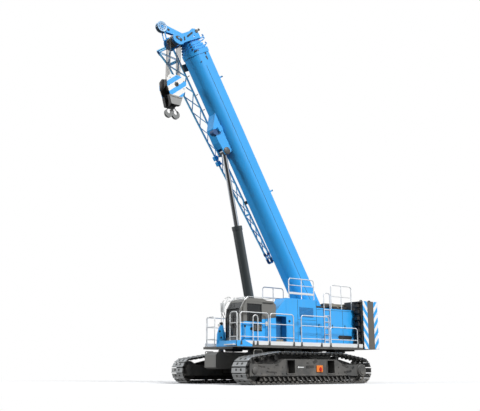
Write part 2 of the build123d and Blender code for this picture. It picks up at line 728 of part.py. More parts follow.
FRONT_PANE_Y = (CAB_IN + 60, CAB_OUT - 60)
SIDE_PANE_X = (1180.0, 2300.0)
SIDE_PANE_Z = (2150.0, 2840.0)
REAR_PANE_Z = (2250.0, 2800.0)
ROOF_PANE_X = (1640.0, 2080.0)
DOORWAY_X = (DOOR_REAR + DOOR_FRAME, DOOR_FRONT - DOOR_FRAME)
DOORWAY_Z = (DOOR_BOTTOM + DOOR_FRAME, DOOR_TOP - DOOR_FRAME)
with BuildPart() as cab_shell:
    with BuildSketch(side(CAB_OUT)):
        cab_profile(0)
    extrude(amount=CAB_OUT - CAB_IN)
    with BuildSketch(side(CAB_OUT - CAB_WALL)):
        cab_profile(CAB_WALL)
    extrude(amount=CAB_OUT - CAB_IN - 2 * CAB_WALL, mode=Mode.SUBTRACT)
    box((2300, 2800), FRONT_PANE_Y, (SILL_FRONT, 2860), mode=Mode.SUBTRACT)
    box(DOORWAY_X, (CAB_OUT - CAB_WALL - 1, CAB_OUT + 1), DOORWAY_Z, mode=Mode.SUBTRACT)
    box(SIDE_PANE_X, (CAB_IN - 1, CAB_IN + CAB_WALL + 1), SIDE_PANE_Z, mode=Mode.SUBTRACT)
    box((CAB_REAR - 1, CAB_REAR + CAB_WALL + 1), FRONT_PANE_Y, REAR_PANE_Z, mode=Mode.SUBTRACT)
    box(ROOF_PANE_X, FRONT_PANE_Y, (2900, CAB_TOP + 1), mode=Mode.SUBTRACT)
    runner_y = (CAB_OUT, CAB_OUT + DOOR_GAP + DOOR_T + DOOR_GAP)
    box((CAB_REAR + 130, DOOR_FRONT - 120), runner_y, (DOOR_TOP + RUN, DOOR_TOP + RUNNER_T))
    box((CAB_REAR, DOOR_FRONT + 20), runner_y, (DOOR_BOTTOM - RUNNER_T, DOOR_BOTTOM - RUN))
save(cab_shell, "cab_shell")

with BuildPart() as front_pane:
    with BuildSketch(side(FRONT_PANE_Y[1])):
        cab_profile(0)
    extrude(amount=FRONT_PANE_Y[1] - FRONT_PANE_Y[0])
    with BuildSketch(side(FRONT_PANE_Y[1])):
        cab_profile(GLASS_T)
    extrude(amount=FRONT_PANE_Y[1] - FRONT_PANE_Y[0], mode=Mode.SUBTRACT)
    box((2300, 2800), (0, 2000), (SILL_FRONT, 2860), mode=Mode.INTERSECT)

with BuildPart() as cab_windows:
    add(front_pane.part)
    pane_y = (CAB_IN, CAB_IN + GLASS_T)
    box(SIDE_PANE_X, pane_y, SIDE_PANE_Z)
    box((CAB_REAR, CAB_REAR + GLASS_T), FRONT_PANE_Y, REAR_PANE_Z)
    box(ROOF_PANE_X, FRONT_PANE_Y, (CAB_TOP - GLASS_T, CAB_TOP))
save(cab_windows, "cab_windows")

DOOR_IN = CAB_OUT + DOOR_GAP
DOOR_PANE_Z = (2190.0, DOOR_TOP - DOOR_FRAME)
DOOR_PANE_X = (DOOR_REAR + 60, DOOR_FRONT - 190)
DOOR_SIDE = (
    (DOOR_REAR, DOOR_BOTTOM), (DOOR_FRONT, DOOR_BOTTOM), (DOOR_FRONT, DOOR_TOP - 200),
    (DOOR_FRONT - 120, DOOR_TOP), (DOOR_REAR, DOOR_TOP),
)
with BuildPart() as cab_door:
    slab(side(DOOR_IN), DOOR_SIDE, -DOOR_T)
    box(DOOR_PANE_X, (DOOR_IN - 1, DOOR_IN + DOOR_T + 1), DOOR_PANE_Z, mode=Mode.SUBTRACT)
save(cab_door, "cab_door")

with BuildPart() as door_window:
    glass_in = DOOR_IN + (DOOR_T - GLASS_T) / 2
    box(DOOR_PANE_X, (glass_in, glass_in + GLASS_T), DOOR_PANE_Z)
save(door_window, "door_window")

SEAT_X = (1300.0, 1820.0)
SEAT_Y = (CAB_IN + 190, CAB_OUT - 190)
CAB_FLOOR = DECK_TOP + CAB_WALL
with BuildPart() as operator_seat:
    box((1400, 1720), (SEAT_Y[0] + 90, SEAT_Y[1] - 90), (CAB_FLOOR, 1780))
    box(SEAT_X, SEAT_Y, (1780, 1900))
    box((SEAT_X[0], SEAT_X[0] + 130), SEAT_Y, (1900, 2560))
    for low in (SEAT_Y[0] - 120, SEAT_Y[1] + 10):
        box((1420, 2000), (low, low + 110), (1880, 2020))
        box((1500, 1600), (low, low + 110), (CAB_FLOOR, 1880))
    box((2300, 2420), (SEAT_Y[0], SEAT_Y[1]), (CAB_FLOOR, 2060))
save(operator_seat, "operator_seat")

# Blue fairing beside the cab's front, with a lamp on top
FAIRING = (
    (2600.0, DECK_TOP), (2880.0, DECK_TOP), (2960.0, 1540.0), (2950.0, 1740.0),
    (2880.0, 1960.0), (2800.0, 2100.0), (2740.0, 2100.0), (2640.0, 1800.0),
)
with BuildPart() as front_fairing:
    slab(side(CAB_IN), FAIRING, CAB_IN - PLATE_OUT)
save(front_fairing, "front_fairing")

with BuildPart() as mirrors:
    strut((SLEW_X + 2775, CAB_IN - 30, 2100), (SLEW_X + 2775, CAB_IN - 30, 2520), 16)
    strut((SLEW_X + 2775, CAB_IN - 30, 2520), (SLEW_X + 2480, CAB_IN + 30, 3120), 16)
    box((2720, 2750), (CAB_IN - 130, CAB_IN + 90), (2520, 2860))
    strut((SLEW_X + 2735, CAB_IN - 30, 2540), (SLEW_X + 2775, CAB_IN - 30, 2500), 16)
save(mirrors, "mirrors")


# Housings stand on the decks as folded covers with open bottoms
def cover(x, y, top):
    """A cover with walls and a roof."""
    box(x, y, (DECK_TOP, top))
    inner_x = (x[0] + HOUSE_WALL, x[1] - HOUSE_WALL)
    inner_y = (y[0] + HOUSE_WALL, y[1] - HOUSE_WALL)
    box(inner_x, inner_y, (DECK_TOP, top - HOUSE_WALL), mode=Mode.SUBTRACT)


with BuildPart() as left_house:
    cover((LEFT_HOUSE_REAR, LEFT_HOUSE_FRONT), (HOUSE_IN, LEFT_HOUSE_OUT), LEFT_HOUSE_TOP)
save(left_house, "left_house")

with BuildPart() as left_hood:
    cover((HOOD_REAR, LEFT_HOUSE_REAR), (HOUSE_IN, LEFT_HOUSE_OUT), HOOD_TOP)
save(left_hood, "left_hood")

with BuildPart() as engine_house:
    cover((HOOD_REAR, RIGHT_HOUSE_FRONT), (-RIGHT_HOUSE_OUT, -HOUSE_IN), HOOD_TOP)
    hatch_gap = 8.0
    hatch_x = (HATCH_REAR - hatch_gap, HATCH_FRONT + RUN)
    hatch_z = (HATCH_BOTTOM - hatch_gap, HATCH_TOP + hatch_gap)
    wall_y = (-RIGHT_HOUSE_OUT - 1, -RIGHT_HOUSE_OUT + HOUSE_WALL + 1)
    box(hatch_x, wall_y, hatch_z, mode=Mode.SUBTRACT)
save(engine_house, "engine_house")

with BuildPart() as engine_door:
    door_y = (-RIGHT_HOUSE_OUT, -RIGHT_HOUSE_OUT + HATCH_T)
    box((HATCH_REAR, HATCH_FRONT), door_y, (HATCH_BOTTOM, HATCH_TOP))
save(engine_door, "engine_door")

with BuildPart() as engine:
    box((ENGINE_REAR, ENGINE_FRONT), (-1330, -720), (DECK_TOP, ENGINE_TOP))
save(engine, "engine")

with BuildPart() as exhaust:
    with BuildSketch(level(HOOD_TOP)):
        with Locations((-2700, -1050)):
            Circle(95)
    extrude(amount=420)
    with BuildSketch(level(HOOD_TOP + 420)):
        with Locations((-2700, -1050)):
            Circle(60)
    extrude(amount=200)
save(exhaust, "exhaust")

with BuildPart() as fuel_tank:
    box((450, 1300), (-1450, -620), (DECK_TOP, 1950))
    fillet(fuel_tank.edges().filter_by(Axis.Y), radius=70)
save(fuel_tank, "fuel_tank")

# Counterweight: a block with a bay for the rear of the frame
with BuildPart() as counterweight:
    plan = (
        (CW_FRONT, DECK_HALF_Y), (CW_REAR, DECK_HALF_Y), (CW_REAR, -DECK_HALF_Y),
        (CW_FRONT, -DECK_HALF_Y), (CW_FRONT, -CW_RECESS_HALF_Y), (FRAME_REAR, -CW_RECESS_HALF_Y),
        (FRAME_REAR, CW_RECESS_HALF_Y), (CW_FRONT, CW_RECESS_HALF_Y),
    )
    slab(level(CW_BOTTOM), plan, CW_TOP - CW_BOTTOM)
    chamfer(counterweight.edges().filter_by(Axis.Z).group_by(Axis.X)[0], length=CW_EDGE)
save(counterweight, "counterweight")

with BuildPart() as lift_posts:
    for sign in (1, -1):
        post_y = sorted((sign * (LEFT_HOUSE_OUT + 20), sign * (DECK_HALF_Y - 30)))
        box((HOOD_REAR, CW_FRONT), post_y, (DECK_TOP, CW_TOP - 60))
save(lift_posts, "lift_posts")

for name, x, z in WINCHES:
    with BuildPart() as drum:
        disc(side(0), (x, z), DRUM_BARREL_R, DRUM_HALF_L, both=True)
        for sign in (1, -1):
            disc(side(sign * DRUM_HALF_L), (x, z), DRUM_FLANGE_R, sign * DRUM_FLANGE_T)
        disc(side(0), (x, z), DRUM_AXLE_R, PLATE_OUT, both=True)
    save(drum, name)


# Boom section: flat sides above the seam, rounded below
def boom_outline(inset, mode=Mode.ADD):
    """Cross-section of a boom shell, inset all round."""
    wide = BOOM_HALF_W - inset
    top = BOOM_ABOVE - inset
    bottom = inset - BOOM_BELOW
    belly = BELLY_HALF_W - inset * 0.35
    shoulder = (SHOULDER[0] - inset * 0.83, SHOULDER[1] + inset * 0.56)
    with BuildLine() as outline:
        Line((-belly, bottom), (belly, bottom))
        ThreePointArc((belly, bottom), shoulder, (wide, BOOM_SEAM))
        Polyline((wide, BOOM_SEAM), (wide, top), (-wide, top), (-wide, BOOM_SEAM))
        ThreePointArc((-wide, BOOM_SEAM), (-shoulder[0], shoulder[1]), (-belly, bottom))
    make_face(outline.edges(), mode=mode)


def boom_tube(start, end, outside, inside):
    """A length of boom shell between two insets."""
    with BuildSketch(boom_cross(start)) as ring:
        boom_outline(outside)
        boom_outline(inside, mode=Mode.SUBTRACT)
    extrude(ring.sketch, amount=end - start)


COLLAR_LENGTH = 190.0
PAD_INSET = SECTION_STEP - SLIDE_GAP
EYE = (CYL_EYE_ALONG, -CYL_EYE_BELOW)
BOX_REAR = CYL_EYE_ALONG + EYE_R + 4 * MOVE_GAP
CHEEK_IN = EYE_HALF_W + MOVE_GAP / 2
BRACKET_TOP = -330.0
EYE_BRACKET = (
    (9080.0, -380.0), (8560.0, -790.0), (7980.0, -800.0), (BOX_REAR, EYE[1] - EYE_R),
    (BOX_REAR, BRACKET_TOP), (9080.0, BRACKET_TOP),
)
EYE_CHEEK = (
    (8000.0, BRACKET_TOP), (8000.0, -800.0), (EYE[0] + 40, EYE[1] - EYE_R - 20),
    (EYE[0] - 90, EYE[1] - EYE_R + 10), (EYE[0] - EYE_R - 20, EYE[1]),
    (EYE[0] - 60, BRACKET_TOP),
)
with BuildPart() as boom_base:
    with BuildSketch(boom_cross(BOOM_TAIL)):
        boom_outline(0)
    extrude(amount=BASE_END - BOOM_TAIL)
    with BuildSketch(boom_cross(BASE_END - COLLAR_LENGTH)):
        boom_outline(-COLLAR_PROUD)
    extrude(amount=COLLAR_LENGTH)
    slab(boom_side(0), EYE_BRACKET, CHEEK_IN + CHEEK_T, both=True)
    for sign in (1, -1):
        slab(boom_side(sign * CHEEK_IN), EYE_CHEEK, -sign * CHEEK_T)
    disc(boom_side(0), EYE, EYE_PIN_R, CHEEK_IN + 1, both=True)
    with BuildSketch(boom_cross(BOOM_TAIL)):
        boom_outline(BOOM_WALL)
    extrude(amount=BASE_END - COLLAR_LENGTH - BOOM_TAIL, mode=Mode.SUBTRACT)
    with BuildSketch(boom_cross(BASE_END - COLLAR_LENGTH)):
        boom_outline(PAD_INSET)
    extrude(amount=COLLAR_LENGTH, mode=Mode.SUBTRACT)
    for sign in (1, -1):
        inner = BOOM_HALF_W - BOOM_WALL - 40
        disc(boom_side(sign * inner), (0, 0), FOOT_BOSS_R, -sign * (PLATE_IN - 6 - inner))
    disc(boom_side(0), (0, 0), FOOT_PIN_R + RUN, PLATE_OUT, both=True, mode=Mode.SUBTRACT)
save(boom_base, "boom_base")

# Inner sections, each guided by the collar of the one before
SECTIONS = (               # name, rear end, start of the collar, front end
    ("boom_section_2", 500.0, 11620.0, 11715.0),
    ("boom_section_3", 600.0, 11735.0, 11820.0),
    ("boom_section_4", 700.0, 11840.0, 11930.0),
    ("boom_section_5", 800.0, 11950.0, 12010.0),
)
for index, (name, rear, collar, front) in enumerate(SECTIONS):
    outside = SECTION_STEP * (index + 1)
    with BuildPart() as section:
        boom_tube(rear, collar, outside, outside + INNER_WALL)
        boom_tube(collar, front, outside - COLLAR_PROUD, outside + PAD_INSET)
    save(section, name)

# Head: side plates with sheave pins, a rear and a front cross plate, and a rooster arm
HEAD_START = SECTIONS[-1][3]
HEAD_PLATE = (
    (HEAD_START, 400.0), (12200.0, 400.0), (12400.0, 310.0), (12440.0, 170.0),
    (12370.0, 0.0), (12350.0, -430.0), (12440.0, -560.0), (12120.0, -830.0),
    (11990.0, -720.0), (11960.0, -600.0), (HEAD_START, -430.0),
)
HEAD_LOBE_R = 240.0
ROOSTER_ARM = (
    (12370.0, -60.0), (12370.0, -380.0), (12760.0, -1030.0), (12900.0, -1060.0),
    (12990.0, -960.0), (12970.0, -800.0),
)
ROOSTER_PLATE_IN = 40.0
ROOSTER_PLATE_T = 25.0
with BuildPart() as boom_head:
    for sign in (1, -1):
        plane = boom_side(sign * HEAD_PLATE_IN)
        slab(plane, HEAD_PLATE, -sign * (HEAD_PLATE_OUT - HEAD_PLATE_IN))
        disc(plane, HEAD_SHEAVE_AT, HEAD_LOBE_R, -sign * (HEAD_PLATE_OUT - HEAD_PLATE_IN))
        slab(boom_side(sign * ROOSTER_PLATE_IN), ROOSTER_ARM, -sign * ROOSTER_PLATE_T)
    rear_plate = ((HEAD_START, -380), (HEAD_START, 400), (12050, 400), (12050, -380))
    slab(boom_side(0), rear_plate, HEAD_PLATE_IN, both=True)
    front_plate = ((12330, -390), (12330, -40), (12370, -40), (12370, -390))
    slab(boom_side(0), front_plate, HEAD_PLATE_IN, both=True)
    disc(boom_side(0), HEAD_SHEAVE_AT, PIN_R, HEAD_PLATE_OUT + 25, both=True)
    disc(boom_side(0), TOP_SHEAVE_AT, PIN_R, HEAD_PLATE_OUT, both=True)
    disc(boom_side(0), ROOSTER_AT, PIN_R, ROOSTER_PLATE_IN + ROOSTER_PLATE_T + 10, both=True)
    cut = HEAD_PLATE_OUT + 1
    disc(boom_side(0), JIB_PIN_AT, JIB_PIN_R, cut, both=True, mode=Mode.SUBTRACT)
save(boom_head, "boom_head")


def sheave(plane, centre, radius):
    """A grooved sheave on its pin."""
    disc(plane, centre, radius, SHEAVE_T / 2, both=True)
    disc(plane, centre, PIN_R + RUN, SHEAVE_T, both=True, mode=Mode.SUBTRACT)


with BuildPart() as head_sheaves:
    for y in SHEAVE_YS:
        sheave(boom_side(y), HEAD_SHEAVE_AT, SHEAVE_R)
    sheave(boom_side(0), TOP_SHEAVE_AT, TOP_SHEAVE_R)
    sheave(boom_side(0), ROOSTER_AT, ROOSTER_R)
save(head_sheaves, "head_sheaves")

# Hook block, hanging straight below the head sheaves on its rope falls
HANG = (
    BOOM_FOOT[0] + HEAD_SHEAVE_AT[0] * cos(ANGLE) - HEAD_SHEAVE_AT[1] * sin(ANGLE),
    BOOM_FOOT[1] + HEAD_SHEAVE_AT[0] * sin(ANGLE) + HEAD_SHEAVE_AT[1] * cos(ANGLE),
)
BLOCK_CHEEK = (            # from the plumb line, above the block's sheaves
    (430.0, 140.0), (330.0, 310.0), (60.0, 370.0), (-60.0, 370.0), (-330.0, 310.0),
    (-430.0, 140.0), (-400.0, -160.0), (-240.0, -520.0), (240.0, -520.0), (400.0, -160.0),
)
WEIGHT = ((290.0, -460.0), (-290.0, -460.0), (-190.0, -810.0), (190.0, -810.0))


def at_block(points):
    """Shift points given from the block's sheave axis."""
    return [(HANG[0] + x, BLOCK_Z + z) for x, z in points]


BLOCK_AXIS = (HANG[0], BLOCK_Z)
with BuildPart() as hook_block:
    for sign in (1, -1):
        slab(side(sign * CHEEK_Y), at_block(BLOCK_CHEEK), sign * BLOCK_CHEEK_T)
        plane = side(sign * WEIGHT_GAP_HALF)
        slab(plane, at_block(WEIGHT), -sign * (CHEEK_Y - BLOCK_CHEEK_T / 2 - WEIGHT_GAP_HALF))
    crosshead_x = (HANG[0] - CROSSHEAD_HALF, HANG[0] + CROSSHEAD_HALF)
    crosshead_z = (BLOCK_Z + WEIGHT[2][1], BLOCK_Z + WEIGHT[0][1])
    box(crosshead_x, (-WEIGHT_GAP_HALF, WEIGHT_GAP_HALF), crosshead_z)
    disc(side(0), BLOCK_AXIS, PIN_R, CHEEK_Y + 30, both=True)
    with BuildSketch(level(HOOK_TOP + RUN)):
        with Locations((HANG[0], 0)):
            Circle(HOOK_SHANK_R + RUN)
    extrude(amount=-300, mode=Mode.SUBTRACT)
save(hook_block, "hook_block")

with BuildPart() as block_sheaves:
    for y in SHEAVE_YS:
        sheave(side(y), BLOCK_AXIS, SHEAVE_R)
save(block_sheaves, "block_sheaves")

with BuildPart() as rope_falls:
    for y in SHEAVE_YS:
        for sign in (1, -1):
            x = SLEW_X + HANG[0] + sign * (SHEAVE_R + ROPE_R + RUN)
            strut((x, y, BLOCK_Z), (x, y, HANG[1]), ROPE_R)
save(rope_falls, "rope_falls")

BOWL_Z = HOOK_BOTTOM + BOWL_R
with BuildPart() as hook:
    with BuildSketch(level(HOOK_TOP)):
        with Locations((HANG[0], 0)):
            Circle(HOOK_SHANK_R)
    extrude(amount=BOWL_Z - HOOK_TOP)
    for sign in (1, -1):
        bowl = (HANG[0] + sign * BOWL_X, BOWL_Z)
        disc(side(0), bowl, BOWL_R, HOOK_HALF_T, both=True)
    for sign in (1, -1):
        throat = (HANG[0] + sign * THROAT_AT[0], THROAT_AT[1])
        disc(side(0), throat, THROAT_R, HOOK_HALF_T + 1, both=True, mode=Mode.SUBTRACT)
save(hook, "hook")

# Luffing cylinder: the rod's eye is on the boom's pin, the barrel's foot on the frame
EYE_XZ = (
    BOOM_FOOT[0] + EYE[0] * cos(ANGLE) - EYE[1] * sin(ANGLE),
    BOOM_FOOT[1] + EYE[0] * sin(ANGLE) + EYE[1] * cos(ANGLE),
)
CYL_LENGTH = hypot(EYE_XZ[0] - CYL_FOOT[0], EYE_XZ[1] - CYL_FOOT[1])
CYL_ANGLE = atan2(EYE_XZ[1] - CYL_FOOT[1], EYE_XZ[0] - CYL_FOOT[0])


def cylinder_cross(distance):
    """Plane across the luffing cylinder at a distance from its foot."""
    origin = (
        SLEW_X + CYL_FOOT[0] + distance * cos(CYL_ANGLE),
        0,
        CYL_FOOT[1] + distance * sin(CYL_ANGLE),
    )
    return Plane(origin=origin, x_dir=(0, 1, 0), z_dir=(cos(CYL_ANGLE), 0, sin(CYL_ANGLE)))


with BuildPart() as luff_rod:
    with BuildSketch(cylinder_cross(BARREL_LENGTH - ROD_HIDDEN)):
        Circle(ROD_R)
    extrude(amount=CYL_LENGTH - BARREL_LENGTH + ROD_HIDDEN - EYE_PIN_R)
    disc(side(0), EYE_XZ, EYE_R, EYE_HALF_W, both=True)
    disc(side(0), EYE_XZ, EYE_PIN_R + RUN, EYE_HALF_W + 1, both=True, mode=Mode.SUBTRACT)
save(luff_rod, "luff_rod")

with BuildPart() as luff_barrel:
    with BuildSketch(cylinder_cross(0)):
        Circle(BARREL_R)
    extrude(amount=BARREL_LENGTH)
    with BuildSketch(cylinder_cross(BARREL_LENGTH - GLAND_LENGTH)):
        Circle(GLAND_R)
    extrude(amount=GLAND_LENGTH)
    disc(side(0), CYL_FOOT, FOOT_EYE_R, BARREL_R, both=True)
    with BuildSketch(cylinder_cross(BARREL_BLIND)):
        Circle(ROD_R + RUN)
    extrude(amount=BARREL_LENGTH, mode=Mode.SUBTRACT)
save(luff_barrel, "luff_barrel")


# Fly jib stowed along the boom's right side: four chords, laced on all four faces
def jib_section(along):
    """Height of the first chord, depth and width of the jib at a distance along the boom."""
    for first, last in zip(JIB_STATIONS, JIB_STATIONS[1:]):
        if along >= last[0]:
            break
    share = (along - first[0]) / (last[0] - first[0])
    return [first[i] + share * (last[i] - first[i]) for i in (1, 2, 3)]


def chord_point(along, lower, outer):
    """Point on one of the four chords."""
    height, depth, width = jib_section(along)
    y = JIB_Y - lower * depth * cos(JIB_TILT) - outer * width * sin(JIB_TILT)
    up = height - lower * depth * sin(JIB_TILT) + outer * width * cos(JIB_TILT)
    return boom_point(along, up, y)


CORNERS = ((0, 0), (1, 0), (1, 1), (0, 1))
with BuildPart() as fly_jib:
    bars = []
    faces = list(zip(CORNERS, CORNERS[1:] + CORNERS[:1]))
    for upper, lower in zip(JIB_STATIONS, JIB_STATIONS[1:]):
        for corner in CORNERS:
            ends = chord_point(upper[0], *corner), chord_point(lower[0], *corner)
            bars.append((*ends, CHORD_R))
        bays = upper[4]
        bay = (upper[0] - lower[0]) / bays
        for index in range(bays):
            high, low = upper[0] - bay * index, upper[0] - bay * (index + 1)
            for face, (one, other) in enumerate(faces):
                bars.append((chord_point(high, *one), chord_point(low, *other), LACE_R))
                if face % 2 == 0:
                    bars.append((chord_point(high, *other), chord_point(low, *one), LACE_R))
    for station in JIB_STATIONS:
        for one, other in faces:
            along = station[0]
            bars.append((chord_point(along, *one), chord_point(along, *other), END_R))
    add([bar(start, end, radius) for start, end, radius in bars])
save(fly_jib, "fly_jib")

STOWS = (                  # along the boom, length of the bracket
    (11200.0, 290.0),
    (5300.0, 130.0),
)
SEAT_HEIGHT = 120.0
SEAT_T = 30.0
with BuildPart() as jib_brackets:
    for along, length in STOWS:
        rear, front = along - length / 2, along + length / 2
        chord = jib_section(along)[0]
        seat_top = BOOM_SEAM + SEAT_HEIGHT
        rest = (
            (rear, chord - CHORD_R), (front, chord - CHORD_R), (front, seat_top), (rear, seat_top),
        )
        seat = ((rear, BOOM_SEAM), (front, BOOM_SEAM), (front, seat_top), (rear, seat_top))
        plate_y = -BOOM_HALF_W - SEAT_T
        slab(boom_side(plate_y), rest, plate_y - JIB_Y - CHORD_R - RUN)
        slab(boom_side(-BOOM_HALF_W), seat, SEAT_T)
save(jib_brackets, "jib_brackets")
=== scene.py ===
"""Looks of a telescopic boom crawler crane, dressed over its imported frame."""

import logging
import math
from dataclasses import dataclass, field
from enum import Enum
from typing import ClassVar, Iterable, Optional, Sequence

import bmesh
import bpy
from mathutils import Matrix, Vector


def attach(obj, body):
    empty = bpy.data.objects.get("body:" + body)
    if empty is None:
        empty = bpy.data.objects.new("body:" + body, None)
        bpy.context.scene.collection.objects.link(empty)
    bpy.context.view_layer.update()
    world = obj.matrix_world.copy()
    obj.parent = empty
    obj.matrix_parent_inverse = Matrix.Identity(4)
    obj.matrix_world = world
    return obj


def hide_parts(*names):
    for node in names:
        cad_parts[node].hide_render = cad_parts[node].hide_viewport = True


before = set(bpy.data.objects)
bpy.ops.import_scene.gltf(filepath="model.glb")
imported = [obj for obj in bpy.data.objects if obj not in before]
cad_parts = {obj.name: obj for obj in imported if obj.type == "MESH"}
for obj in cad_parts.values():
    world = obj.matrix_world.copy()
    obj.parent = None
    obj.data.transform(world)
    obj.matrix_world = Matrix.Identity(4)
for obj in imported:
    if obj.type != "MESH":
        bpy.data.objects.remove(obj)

logging.basicConfig(level=logging.INFO, format="%(levelname)s %(message)s")
LOG = logging.getLogger("crawler_crane")

Point = tuple[float, float, float]
Flat = tuple[float, float]
Colour = tuple[float, float, float]
Socket = bpy.types.NodeSocket

# Metres. Places are measured from the slewing axis, which stands at x = SLEW_X.
SLEW_X = -0.538043
LUFF = math.radians(59.25)
BOOM_FOOT = (-2.05, 2.65)
SIDES = (1.0, -1.0)
LEFTWARD = (0, 1, 0)

CRANE = Matrix.Translation((SLEW_X, 0.0, 0.0))
# Places on the boom are along it from its foot, left of its middle and above its axis.
BOOM = Matrix(
    (
        (math.cos(LUFF), 0.0, -math.sin(LUFF), SLEW_X + BOOM_FOOT[0]),
        (0.0, 1.0, 0.0, 0.0),
        (math.sin(LUFF), 0.0, math.cos(LUFF), BOOM_FOOT[1]),
        (0.0, 0.0, 0.0, 1.0),
    )
)


def srgb(*screen: int) -> Colour:
    """Scene-linear colour of a screen colour.

    Args:
        screen: Red, green and blue from 0 to 255.

    Returns:
        The three linear values.
    """
    shares = [channel / 255 for channel in screen]
    return tuple(s / 12.92 if s <= 0.04045 else ((s + 0.055) / 1.055) ** 2.4 for s in shares)


# ---- materials ----
class Graph:
    """Short calls for building a node tree."""

    def __init__(self, tree: bpy.types.NodeTree) -> None:
        """Keep the tree that the nodes go to."""
        self.tree = tree

    def feed(self, node: bpy.types.Node, values: dict[object, object]) -> bpy.types.Node:
        """Link or set some of a node's inputs.

        Args:
            node: Node whose inputs they are.
            values: Sockets or values by the input's name or number; colours without alpha.

        Returns:
            The node.
        """
        for key, value in values.items():
            target = node.inputs[key]
            if isinstance(value, Socket):
                self.tree.links.new(value, target)
            else:
                target.default_value = (*value, 1.0) if target.type == "RGBA" else value
        return node

    def node(self, kind: str, **inputs: object) -> bpy.types.Node:
        """Add a shader node and set its inputs and options.

        Args:
            kind: Type of the node after "ShaderNode".
            inputs: Inputs by name with spaces as underscores, or options where no input has
                the name.

        Returns:
            The new node.
        """
        made = self.tree.nodes.new(f"ShaderNode{kind}")
        for key, value in inputs.items():
            name = key.replace("_", " ")
            if name in made.inputs:
                self.feed(made, {name: value})
            else:
                setattr(made, key, value)
        return made

    def math(self, operation: str, *values: object, kind: str = "Math") -> Socket:
        """Value of a math node, or of a vector math node."""
        made = self.node(kind, operation=operation)
        return self.feed(made, dict(enumerate(values))).outputs["Value"]

    def times(self, first: object, *others: object) -> Socket:
        """Product of two or more values."""
        for other in others:
            first = self.math("MULTIPLY", first, other)
        return first

    def mapped(self, value: Socket, low: object, high: object) -> Socket:
        """Share of the way from low to high, clamped."""
        made = self.node("MapRange", clamp=True, Value=value, From_Min=low, From_Max=high)
        return made.outputs["Result"]

    def blend(self, share: object, first: object, second: object) -> Socket:
        """Mix two colours by a share."""
        made = self.node("Mix", data_type="RGBA")
        return self.feed(made, {0: share, 6: first, 7: second}).outputs[2]

    def noise(self, place: Socket, scale: object, detail: float, rough: float = 0.5) -> Socket:
        """Noise at a place."""
        made = self.node("TexNoise", Vector=place, Scale=scale, Detail=detail, Roughness=rough)
        return made.outputs["Fac"]

    def axes(self, vector: Socket) -> list[Socket]:
        """X, Y and Z of a vector."""
        return list(self.node("SeparateXYZ", Vector=vector).outputs)

    def mixed(self, share: Socket, first: bpy.types.Node, second: bpy.types.Node) -> bpy.types.Node:
        """Mix two shader nodes by a share."""
        made = self.node("MixShader")
        return self.feed(made, {0: share, 1: first.outputs[0], 2: second.outputs[0]})

    def end(self, shader: bpy.types.Node, kind: str = "OutputMaterial") -> None:
        """Show a shader node."""
        self.node(kind, Surface=shader.outputs[0])


def new_material(name: str) -> tuple[bpy.types.Material, Graph, Socket]:
    """Make an empty material.

    Args:
        name: Name of the material.

    Returns:
        The material, its graph and the place in object coordinates.
    """
    material = bpy.data.materials.new(name)
    material.use_nodes = True
    material.node_tree.nodes.clear()
    graph = Graph(material.node_tree)
    return material, graph, graph.node("TexCoord").outputs["Object"]


class Effect(Enum):
    """Shader groups that the finishes share: inputs after the position, then outputs."""

    GRAIN = ("Scale",), ("Height", "Tone")
    DUST = ("Amount", "Head"), ("Mask",)
    WEAR = ("Amount", "Radius"), ("Mask", "Normal")
    STREAKS = ("Amount",), ("Mask",)


@dataclass
class Effects:
    """The shader groups, each made once."""

    made: dict = field(default_factory=dict)

    def get(self, effect: Effect) -> bpy.types.NodeTree:
        """Return a group, building it when first asked for."""
        if effect not in self.made:
            self.made[effect] = self._build(effect)
        return self.made[effect]

    def _build(self, effect: Effect) -> bpy.types.NodeTree:
        """Make a group from the method that has its name."""
        name = effect.name.lower()
        tree = bpy.data.node_groups.new(name, "ShaderNodeTree")
        inputs, outputs = ("Position", *effect.value[0]), effect.value[1]
        for way, titles in (("INPUT", inputs), ("OUTPUT", outputs)):
            for title in titles:
                kind = "Vector" if title in ("Position", "Normal") else "Float"
                socket = f"NodeSocket{kind}"
                tree.interface.new_socket(name=title, in_out=way, socket_type=socket)
        graph = Graph(tree)
        given = tree.nodes.new("NodeGroupInput").outputs
        found = getattr(self, f"_{name}")(graph, *given[: len(inputs)])
        graph.feed(tree.nodes.new("NodeGroupOutput"), dict(enumerate(found)))
        return tree

    def _grain(self, graph: Graph, place: Socket, scale: Socket) -> tuple[Socket, ...]:
        """Fine surface grain, and a slow change of tone."""
        slow = graph.mapped(graph.noise(place, 1.3, 4.0), 0.32, 0.68)
        return graph.noise(place, scale, 3.0), slow

    def _dust(self, graph: Graph, place: Socket, amount: Socket, head: Socket) -> tuple[Socket]:
        """Dust that thins out upwards and gathers in patches."""
        height = graph.mapped(graph.axes(place)[2], head, 0.0)
        patch = graph.mapped(graph.noise(place, 2.5, 6.0, 0.65), 0.36, 0.7)
        return (graph.times(height, patch, amount),)

    def _wear(
        self, graph: Graph, place: Socket, amount: Socket, radius: Socket
    ) -> tuple[Socket, ...]:
        """Rubbed edges found from the rounded normal, and that normal."""
        rounded = graph.node("Bevel", Radius=radius, samples=4).outputs[0]
        normal = graph.node("NewGeometry").outputs["Normal"]
        along = graph.math("DOT_PRODUCT", rounded, normal, kind="VectorMath")
        bend = graph.mapped(graph.math("SUBTRACT", 1.0, along), 0.02, 0.2)
        chip = graph.mapped(graph.noise(place, 9.0, 5.0, 0.7), 0.45, 0.62)
        return graph.times(bend, chip, amount), rounded

    def _streaks(self, graph: Graph, place: Socket, amount: Socket) -> tuple[Socket]:
        """Faint rain streaks running down."""
        stretch = graph.node("Mapping", Vector=place, Scale=(14.0, 14.0, 0.9)).outputs[0]
        return (graph.times(graph.mapped(graph.noise(stretch, 1.0, 3.0), 0.52, 0.75), amount),)


